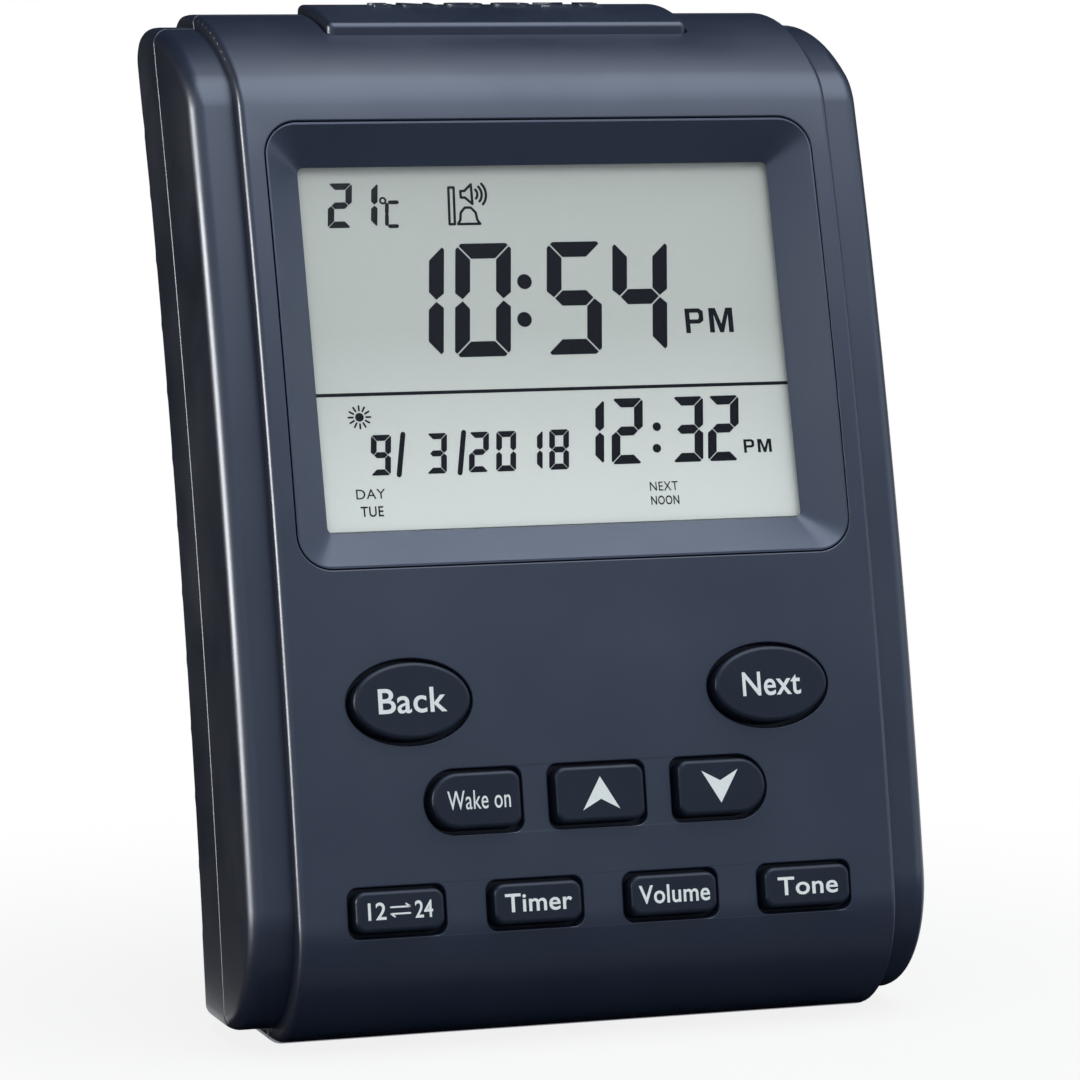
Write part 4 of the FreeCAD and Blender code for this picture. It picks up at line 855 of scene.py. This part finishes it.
class CLOCK_OT_mark_signs(ClockOperator):
    """Make the temperature, the speaker sign, the sun and the small words on the display"""
    bl_idname = "clock.mark_signs"
    bl_label = "Mark Signs"

    def execute(self, context):
        shape = self.display
        ink = bpy.data.materials["Liquid crystal mark"]
        sheet = MarkSheet(shape.slant, shape.mark_thickness)
        size = (3.8 * MM, 7.0 * MM)
        for sign, x in zip(shape.warmth_shown, (-31.66, -27.55)):
            sheet.digit(sign, x * MM, 22.6 * MM, size, 1.02 * MM, 0.07 * MM)
        self.degrees(sheet)
        self.sounding_bell(sheet)
        self.sun(sheet)
        sheet.words("DAY", -30.7 * MM, -22.3 * MM, (4.6 * MM, 1.5 * MM), 0.0)
        sheet.words("TUE", -30.7 * MM, -25.0 * MM, (3.6 * MM, 1.6 * MM), 0.012)
        sheet.words("NEXT", 16.5 * MM, -22.6 * MM, (4.6 * MM, 1.4 * MM), 0.0)
        sheet.words("NOON", 16.5 * MM, -24.8 * MM, (4.6 * MM, 1.4 * MM), 0.012)
        sheet.finish("display_signs", ink, "case", shape.mark_thickness / 4)
        return {"FINISHED"}

    def degrees(self, sheet):
        """Degree ring and C after the temperature."""
        sheet.line(arc_points(-24.76 * MM, 23.28 * MM, 0.45 * MM, 0, 330, 12), 0.3 * MM, closed=True)
        left = -24.15 * MM
        right = -22.5 * MM
        top = 23.0 * MM
        low = 19.25 * MM
        sheet.bar((left + 0.5 * MM, top), (right, top), 0.6 * MM)
        sheet.bar((left, top - 0.35 * MM), (left - 0.12 * MM, 21.35 * MM), 0.6 * MM)
        sheet.bar((left - 0.15 * MM, 20.95 * MM), (left - 0.25 * MM, low + 0.35 * MM), 0.6 * MM)
        sheet.bar((left + 0.2 * MM, low), (right - 0.3 * MM, low), 0.6 * MM)

    def sounding_bell(self, sheet):
        """Outlined loudspeaker with sound waves over a bell, and a column beside them."""
        width = 0.4 * MM
        box = [(-1.1, -0.45), (-1.1, 0.45), (-0.55, 0.45), (0.45, 1.35), (0.45, -1.35), (-0.55, -0.45)]
        sheet.line(scaled(box, 1.15 * MM, -10.9 * MM, 24.1 * MM), width, closed=True)
        for radius in (1.05, 1.75, 2.45):
            sheet.line(arc_points(-10.5 * MM, 24.1 * MM, radius * MM, -42, 42, 7), width)
        bell = [(-1.5, -1.0), (-1.15, -0.5), (-1.0, 0.5), (-0.4, 1.15),
                (0.4, 1.15), (1.0, 0.5), (1.15, -0.5), (1.5, -1.0)]
        sheet.line(scaled(bell, 1.2 * MM, -11.2 * MM, 20.6 * MM), width, closed=True)
        column = [(-14.35, 19.4), (-13.5, 19.4), (-13.2, 25.2), (-14.05, 25.2)]
        sheet.line(scaled(column, MM, 0, 0), width, closed=True)

    def sun(self, sheet):
        """Sun with short rays."""
        x = -31.44 * MM
        y = -10.41 * MM
        sheet.dot(x, y, 0.68 * MM)
        for index in range(12):
            angle = index * math.pi / 6
            ray = (math.cos(angle), math.sin(angle))
            sheet.bar((x + ray[0] * 1.05 * MM, y + ray[1] * 1.05 * MM),
                      (x + ray[0] * 1.75 * MM, y + ray[1] * 1.75 * MM), 0.28 * MM)


class CLOCK_OT_finish_keys(ClockOperator):
    """Finish the nine keys and the snooze bar"""
    bl_idname = "clock.finish_keys"
    bl_label = "Finish Keys"

    def execute(self, context):
        look = self.finishes
        caps = moulded_material("Key satin", look.key_colour, look.key_roughness, 0.45,
                                sheen=look.sheen_colour)
        dress_slot("key_plastic", caps)
        smooth_skin("snooze_bar", "snooze_bar", bpy.data.materials["Outer satin"])
        return {"FINISHED"}


class CLOCK_OT_finish_mat(ClockOperator):
    """Finish the key mat, split into the sheet and the nine domes under the keys"""
    bl_idname = "clock.finish_mat"
    bl_label = "Finish Key Mat"

    def execute(self, context):
        rubber = moulded_material("Silicone mat", (0.20, 0.21, 0.22), 0.65, grain=3000.0)
        dress_slot("grey_rubber", rubber)
        self.sheet_front = frontmost("key_mat", OUT) - DOME_HEIGHT
        self.centres = {node: node_centre(node) for node in KEYS}
        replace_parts(self.piece("key_mat_sheet", None, rubber), "key_mat")
        for node in KEYS:
            dome = self.piece("dome_" + node, node, rubber)
            foot = min((vertex.co for vertex in dome.data.vertices), key=lambda point: point.dot(OUT))
            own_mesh(dome)
        return {"FINISHED"}

    def piece(self, name, key, rubber):
        """The dome under a key or, where no key is given, the sheet between the domes."""
        mesh = faces_of("key_mat", lambda face: self.key_over(face) == key, name)
        return mesh_object(name, mesh, rubber, "case")

    def key_over(self, face):
        """The key whose dome holds a face of the mat, or None for a face of the sheet."""
        if max(vertex.co.dot(OUT) for vertex in face.verts) < self.sheet_front + 0.1 * MM:
            return None
        centre = face.calc_center_median()
        return min(self.centres, key=lambda node: self.apart(self.centres[node] - centre))

    def apart(self, way):
        """How far two places lie from each other, seen square to the mat."""
        return (way - OUT * way.dot(OUT)).length


class CLOCK_OT_print_keys(ClockOperator):
    """Print the legends on the key caps"""
    bl_idname = "clock.print_keys"
    bl_label = "Print Keys"

    def execute(self, context):
        words = self.legends
        self.ink = ink_material("White key print", self.finishes.print_colour, 0.55, 0.3)
        legends = (
            ("key_back", words.back_text, 10.7, 3.8, 0.012),
            ("key_set", words.set_text, 9.5, 3.7, 0.012),
            ("key_alarm", words.alarm_text, 9.9, 2.85, 0.004),
            ("key_timer", words.timer_text, 10.6, 2.8, 0.014),
            ("key_sound", words.sound_text, 11.4, 2.8, 0.014),
            ("key_tone", words.tone_text, 9.8, 2.8, 0.014),
        )
        for node, text, width, height, weight in legends:
            mesh = text_mesh(text, (width * MM, height * MM), weight, 1.04, words.print_thickness)
            self.print_on(node, mesh)
        self.print_chevron("key_up", 1)
        self.print_chevron("key_down", -1)
        self.print_hours("key_calendar")
        return {"FINISHED"}

    def print_on(self, node, mesh):
        """Lays a flat mesh on a key's finger face and lets it ride with the key."""
        bm = bmesh.new()
        bm.from_mesh(mesh)
        bpy.data.meshes.remove(mesh)
        lay_on(bm, key_matrix(node), surface_of(node))
        mesh_object("print_" + node, finish_mesh(bm, "print_" + node), self.ink, node)

    def print_chevron(self, node, direction):
        """Notched arrowhead pointing up or down."""
        outline = [(0, 2.5), (-2.95, -2.5), (0, -0.9), (2.95, -2.5)]
        bm = bmesh.new()
        points = [(x * MM, y * MM * direction) for x, y in outline]
        if direction < 0:
            points.reverse()
        half = self.legends.print_thickness / 2
        add_plate(bm, points, -half, half)
        self.print_on(node, finish_mesh(bm, "chevron"))

    def print_hours(self, node):
        """12 and 24 with a pair of arrows between them."""
        thickness = self.legends.print_thickness
        bm = bmesh.new()
        for text, x in (("12", -3.65), ("24", 3.65)):
            mesh = text_mesh(text, (2.8 * MM, 2.6 * MM), 0.012, 1.0, thickness)
            mesh.transform(Matrix.Translation((x * MM, 0, 0)))
            bm.from_mesh(mesh)
            bpy.data.meshes.remove(mesh)
        stroke = 0.26 * MM
        for side in (1, -1):
            y = 0.5 * MM * side
            tip = 1.5 * MM * side
            barb = (tip - 0.6 * MM * side, y + 0.42 * MM * side)
            for stop in ((-tip, y), barb):
                add_line(bm, [(tip, y), stop], stroke, -thickness / 2, thickness / 2)
        self.print_on(node, finish_mesh(bm, "hours"))


class CLOCK_OT_snooze_lettering(ClockOperator):
    """Raise the word on the snooze bar"""
    bl_idname = "clock.snooze_lettering"
    bl_label = "Snooze Lettering"

    def execute(self, context):
        words = self.legends
        low, high = node_corners("snooze_bar")
        matrix = Matrix.Translation(((low.x + high.x) / 2, high.y - 6.5 * MM, high.z))
        size = (words.snooze_width, words.snooze_height)
        mesh = text_mesh(words.snooze_text, size, 0.01, 1.25, 2 * words.snooze_rise)
        bm = bmesh.new()
        bm.from_mesh(mesh)
        bpy.data.meshes.remove(mesh)
        lay_on(bm, matrix, surface_of("snooze_bar"))
        mesh_object("snooze_lettering", finish_mesh(bm, "snooze_lettering"),
                    bpy.data.materials["Outer satin"], "snooze_bar")
        return {"FINISHED"}


class CLOCK_OT_finish_boards(ClockOperator):
    """Finish the boards, their parts, the ribbon and the wires"""
    bl_idname = "clock.finish_boards"
    bl_label = "Finish Boards"

    def execute(self, context):
        dress_slot("board_green", board_material())
        dress_slot("chip_black", moulded_material("Chip resin", (0.02, 0.02, 0.022), 0.55, grain=6000.0))
        dress_slot("tin_plate", metal_material("Tinned can", (0.70, 0.70, 0.70), 0.25))
        dress_slot("ribbon_film", moulded_material("Ribbon film", (0.55, 0.33, 0.10), 0.3, depth=0.001))
        jackets = {"battery_wires": (0.28, 0.02, 0.02), "speaker_wires": (0.02, 0.02, 0.022),
                   "snooze_wires": (0.45, 0.45, 0.44)}
        for node, colour in jackets.items():
            dress(node, moulded_material("Wire jacket " + node, colour, 0.4, grain=3000.0, depth=0.002))
        return {"FINISHED"}


class CLOCK_OT_finish_speaker(ClockOperator):
    """Finish the loudspeaker"""
    bl_idname = "clock.finish_speaker"
    bl_label = "Finish Loudspeaker"

    def execute(self, context):
        dress_slot("cone_paper", moulded_material("Cone paper", (0.035, 0.033, 0.030), 0.85, 0.2,
                                                  grain=1800.0, depth=0.03, tone=0.2))
        dress_slot("magnet_grey", moulded_material("Ferrite magnet", (0.06, 0.06, 0.062), 0.6,
                                                   grain=1500.0, depth=0.02, tone=0.15))
        return {"FINISHED"}


class CLOCK_OT_finish_power(ClockOperator):
    """Finish the two cells and their contacts"""
    bl_idname = "clock.finish_power"
    bl_label = "Finish Battery Bay"

    def execute(self, context):
        dress("battery_lower", jacket_material("battery_lower", 1))
        dress("battery_upper", jacket_material("battery_upper", -1))
        dress_slot("nickel_plate", metal_material("Nickel contact", (0.66, 0.63, 0.58), 0.22))
        return {"FINISHED"}


def bearing(azimuth, elevation):
    """Unit vector from the clock: azimuth in degrees from straight ahead towards its right side."""
    turn = math.radians(azimuth)
    rise = math.radians(elevation)
    return Vector((math.sin(turn) * math.cos(rise), -math.cos(turn) * math.cos(rise), math.sin(rise)))


def soft_edge(tree, place, start, stop):
    """Rises from 0 at start to 1 at stop, places along one side of a lamp."""
    rise = place_node(tree, "ShaderNodeMapRange", interpolation_type="SMOOTHSTEP")
    rise.inputs["From Min"].default_value = start
    rise.inputs["From Max"].default_value = stop
    tree.links.new(place, rise.inputs["Value"])
    return rise.outputs["Result"]


def fade_lamp(lamp, lower, upper):
    """Cloth of a softbox: brightest across its middle, fading out to its lower and upper edges."""
    lamp.data.use_nodes = True
    tree = lamp.data.node_tree
    split = place_node(tree, "ShaderNodeSeparateXYZ")
    tree.links.new(place_node(tree, "ShaderNodeNewGeometry").outputs["Parametric"], split.inputs[0])
    level = math_node(tree, "MULTIPLY", soft_edge(tree, split.outputs["Y"], 0.0, lower),
                      soft_edge(tree, split.outputs["Y"], 1.0, upper))
    tree.links.new(level, tree.nodes["Emission"].inputs["Strength"])


def softbox(name, aim, direction, distance, size, watts, colour):
    """Rectangular soft lamp that faces a point from the direction given."""
    data = bpy.data.lights.new(name, "AREA")
    data.shape = "RECTANGLE"
    data.size, data.size_y = size
    data.energy = watts
    data.color = colour
    lamp = bpy.data.objects.new(name, data)
    bpy.context.scene.collection.objects.link(lamp)
    lamp.location = aim + direction * distance
    lamp.rotation_euler = (-direction).to_track_quat("-Z", "Y").to_euler()
    return lamp


def card(name, corners, tone=0.01):
    """Dark card that only reflections see, as stands beside a glossy product in a studio."""
    bm = bmesh.new()
    bmesh.ops.contextual_create(bm, geom=[bm.verts.new(corner) for corner in corners])
    mesh = finish_mesh(bm, name)
    material, tree, shader = blank_material(name)
    shader.inputs["Base Color"].default_value = (tone, tone, tone, 1)
    shader.inputs["Roughness"].default_value = 1.0
    shader.inputs["Specular IOR Level"].default_value = 0.0
    mesh.materials.append(material)
    sheet = bpy.data.objects.new(name, mesh)
    bpy.context.scene.collection.objects.link(sheet)
    sheet.visible_camera = False
    sheet.visible_diffuse = False
    sheet.visible_shadow = False
    sheet.visible_transmission = False


class CLOCK_OT_stage(ClockOperator):
    """Lay the pale floor and set the camera, the lamps and the surroundings"""
    bl_idname = "clock.stage"
    bl_label = "Stage"

    def execute(self, context):
        stage = context.scene.clock_stage
        self.floor(stage)
        self.camera(context.scene, stage)
        self.lamps(stage)
        self.surroundings(context.scene, stage)
        context.scene.view_settings.view_transform = "Standard"
        return {"FINISHED"}

    def floor(self, stage):
        bm = bmesh.new()
        bmesh.ops.create_grid(bm, x_segments=1, y_segments=1, size=30)
        material, tree, shader = blank_material("Pale floor")
        shader.inputs["Base Color"].default_value = opaque(stage.floor_colour)
        shader.inputs["Roughness"].default_value = 0.9
        shader.inputs["Specular IOR Level"].default_value = 0.0
        output = next(node for node in tree.nodes if node.type == "OUTPUT_MATERIAL")
        white = place_node(tree, "ShaderNodeEmission")
        path = place_node(tree, "ShaderNodeLightPath")
        seen = math_node(tree, "MAXIMUM", path.outputs["Is Camera Ray"], path.outputs["Is Glossy Ray"])
        seen = math_node(tree, "MAXIMUM", seen, path.outputs["Is Transmission Ray"])
        share = math_node(tree, "MULTIPLY", seen, self.whiteness(tree, stage))
        blend = place_node(tree, "ShaderNodeMixShader")
        tree.links.new(share, blend.inputs["Fac"])
        tree.links.new(shader.outputs["BSDF"], blend.inputs[1])
        tree.links.new(white.outputs["Emission"], blend.inputs[2])
        tree.links.new(blend.outputs["Shader"], output.inputs["Surface"])
        floor = bpy.data.objects.new("floor", finish_mesh(bm, "floor"))
        bpy.context.scene.collection.objects.link(floor)
        floor.data.materials.append(material)

    def whiteness(self, tree, stage):
        """Share of plain white: part near the clock, where its shadow falls, and all far away."""
        distance = place_node(tree, "ShaderNodeVectorMath", operation="LENGTH")
        where = place_node(tree, "ShaderNodeTexCoord")
        tree.links.new(where.outputs["Object"], distance.inputs[0])
        fade = place_node(tree, "ShaderNodeMapRange", interpolation_type="SMOOTHSTEP")
        fade.inputs["From Min"].default_value = 0.05
        fade.inputs["From Max"].default_value = 0.22
        fade.inputs["To Min"].default_value = stage.floor_white
        fade.inputs["To Max"].default_value = 1.0
        tree.links.new(distance.outputs["Value"], fade.inputs["Value"])
        return fade.outputs["Result"]

    def camera(self, scene, stage):
        data = bpy.data.cameras.new("Camera")
        data.lens = stage.focal_length
        data.sensor_width = 36.0
        data.clip_start = 0.01
        data.clip_end = 100.0
        camera = bpy.data.objects.new("Camera", data)
        scene.collection.objects.link(camera)
        level = math.cos(stage.elevation)
        towards = Vector((-math.sin(stage.azimuth) * level, math.cos(stage.azimuth) * level,
                          -math.sin(stage.elevation)))
        camera.location = Vector(stage.aim) - towards * stage.distance
        camera.rotation_euler = towards.to_track_quat("-Z", "Y").to_euler()
        scene.camera = camera

    def lamps(self, stage):
        middle = node_centre("front_shell")
        cool = (0.94, 0.98, 1.0)
        top = softbox("Top softbox", middle, bearing(36, 73), 0.9, (0.95, 1.71), stage.top_lamp, cool)
        fade_lamp(top, stage.top_fade_low, stage.top_fade_high)
        warm = (1.0, 0.94, 0.82)
        strip = softbox("Side strip", middle, bearing(-97, 7), 0.8, (0.36, 0.42), stage.side_lamp, warm)
        strip.visible_diffuse = False
        toe = node_corners("front_shell")[0].y - 0.006
        level = 0.001
        card("toe_card", [(-0.8, toe, level), (0.8, toe, level), (0.8, 0, level), (-0.8, 0, level)])
        front = [(-3, -4, level), (3, -4, level), (3, toe, level), (-3, toe, level)]
        card("front_card", front, 0.12)
        card("left_card", [(-0.8, 0, level), (-0.06, 0, level), (-0.06, 0.5, level), (-0.8, 0.5, level)])
        card("rear_card", [(-0.5, 0.42, 0), (0.3, 0.62, 0), (0.3, 0.62, 0.5), (-0.5, 0.42, 0.5)])
        card("upper_card", [(-0.3, 0.62, 0.1), (0.8, 0.62, 0.1), (0.8, 0.5, 1.2), (-0.3, 0.5, 1.2)])

    def surroundings(self, scene, stage):
        world = bpy.data.worlds.new("Studio")
        world.use_nodes = True
        backdrop = world.node_tree.nodes["Background"]
        backdrop.inputs["Color"].default_value = (0.9, 0.955, 1.0, 1)
        tree = world.node_tree
        split = place_node(tree, "ShaderNodeSeparateXYZ")
        tree.links.new(place_node(tree, "ShaderNodeTexCoord").outputs["Generated"], split.inputs[0])
        across = place_node(tree, "ShaderNodeMapRange")
        across.inputs["From Min"].default_value = -1.0
        tree.links.new(split.outputs["X"], across.inputs["Value"])
        ramp = place_node(tree, "ShaderNodeValToRGB")
        tree.links.new(across.outputs["Result"], ramp.inputs["Fac"])
        stops = ((0.05, stage.sky_left), (0.55, stage.sky_front),
                 (0.70, stage.sky_low), (0.97, stage.sky_right))
        elements = ramp.color_ramp.elements
        for place, level in stops:
            elements.new(place).color = (level, level, level, 1)
        elements.remove(elements[0])
        elements.remove(elements[-1])
        behind = place_node(tree, "ShaderNodeMapRange", interpolation_type="SMOOTHSTEP")
        behind.inputs["From Min"].default_value = -0.3
        behind.inputs["From Max"].default_value = 0.3
        behind.inputs["To Min"].default_value = 1.0
        behind.inputs["To Max"].default_value = 0.12
        tree.links.new(split.outputs["Y"], behind.inputs["Value"])
        level = math_node(tree, "MULTIPLY", ramp.outputs["Color"], behind.outputs["Result"])
        tree.links.new(level, backdrop.inputs["Strength"])
        scene.world = world


class CLOCK_PT_panel(bpy.types.Panel):
    """Lists the clock's operators and settings"""
    bl_idname = "CLOCK_PT_panel"
    bl_label = "Desk Clock"
    bl_space_type = "VIEW_3D"
    bl_region_type = "UI"
    bl_category = "Desk Clock"

    def draw(self, context):
        for kind in OPERATORS:
            self.layout.operator(kind.bl_idname)
        for name in ("clock_finishes", "clock_display", "clock_legends", "clock_stage"):
            settings = getattr(context.scene, name)
            box = self.layout.box()
            for key in settings.__annotations__:
                box.prop(settings, key)


OPERATORS = (
    CLOCK_OT_finish_case,
    CLOCK_OT_finish_display,
    CLOCK_OT_mark_time,
    CLOCK_OT_mark_lower_row,
    CLOCK_OT_mark_signs,
    CLOCK_OT_finish_keys,
    CLOCK_OT_finish_mat,
    CLOCK_OT_print_keys,
    CLOCK_OT_snooze_lettering,
    CLOCK_OT_finish_boards,
    CLOCK_OT_finish_speaker,
    CLOCK_OT_finish_power,
    CLOCK_OT_stage,
)
SETTINGS = (ClockFinishes, ClockDisplay, ClockLegends, ClockStage)


def register():
    for kind in (*SETTINGS, *OPERATORS, CLOCK_PT_panel):
        bpy.utils.register_class(kind)
    bpy.types.Scene.clock_finishes = PointerProperty(type=ClockFinishes)
    bpy.types.Scene.clock_display = PointerProperty(type=ClockDisplay)
    bpy.types.Scene.clock_legends = PointerProperty(type=ClockLegends)
    bpy.types.Scene.clock_stage = PointerProperty(type=ClockStage)


def unregister():
    del bpy.types.Scene.clock_stage
    del bpy.types.Scene.clock_legends
    del bpy.types.Scene.clock_display
    del bpy.types.Scene.clock_finishes
    for kind in reversed((*SETTINGS, *OPERATORS, CLOCK_PT_panel)):
        bpy.utils.unregister_class(kind)


def main():
    register()
    bpy.ops.clock.finish_case()
    bpy.ops.clock.finish_display()
    bpy.ops.clock.mark_time()
    bpy.ops.clock.mark_lower_row()
    bpy.ops.clock.mark_signs()
    bpy.ops.clock.finish_keys()
    bpy.ops.clock.finish_mat()
    bpy.ops.clock.print_keys()
    bpy.ops.clock.snooze_lettering()
    bpy.ops.clock.finish_boards()
    bpy.ops.clock.finish_speaker()
    bpy.ops.clock.finish_power()
    bpy.ops.clock.stage()


if __name__ == "__main__":
    main()
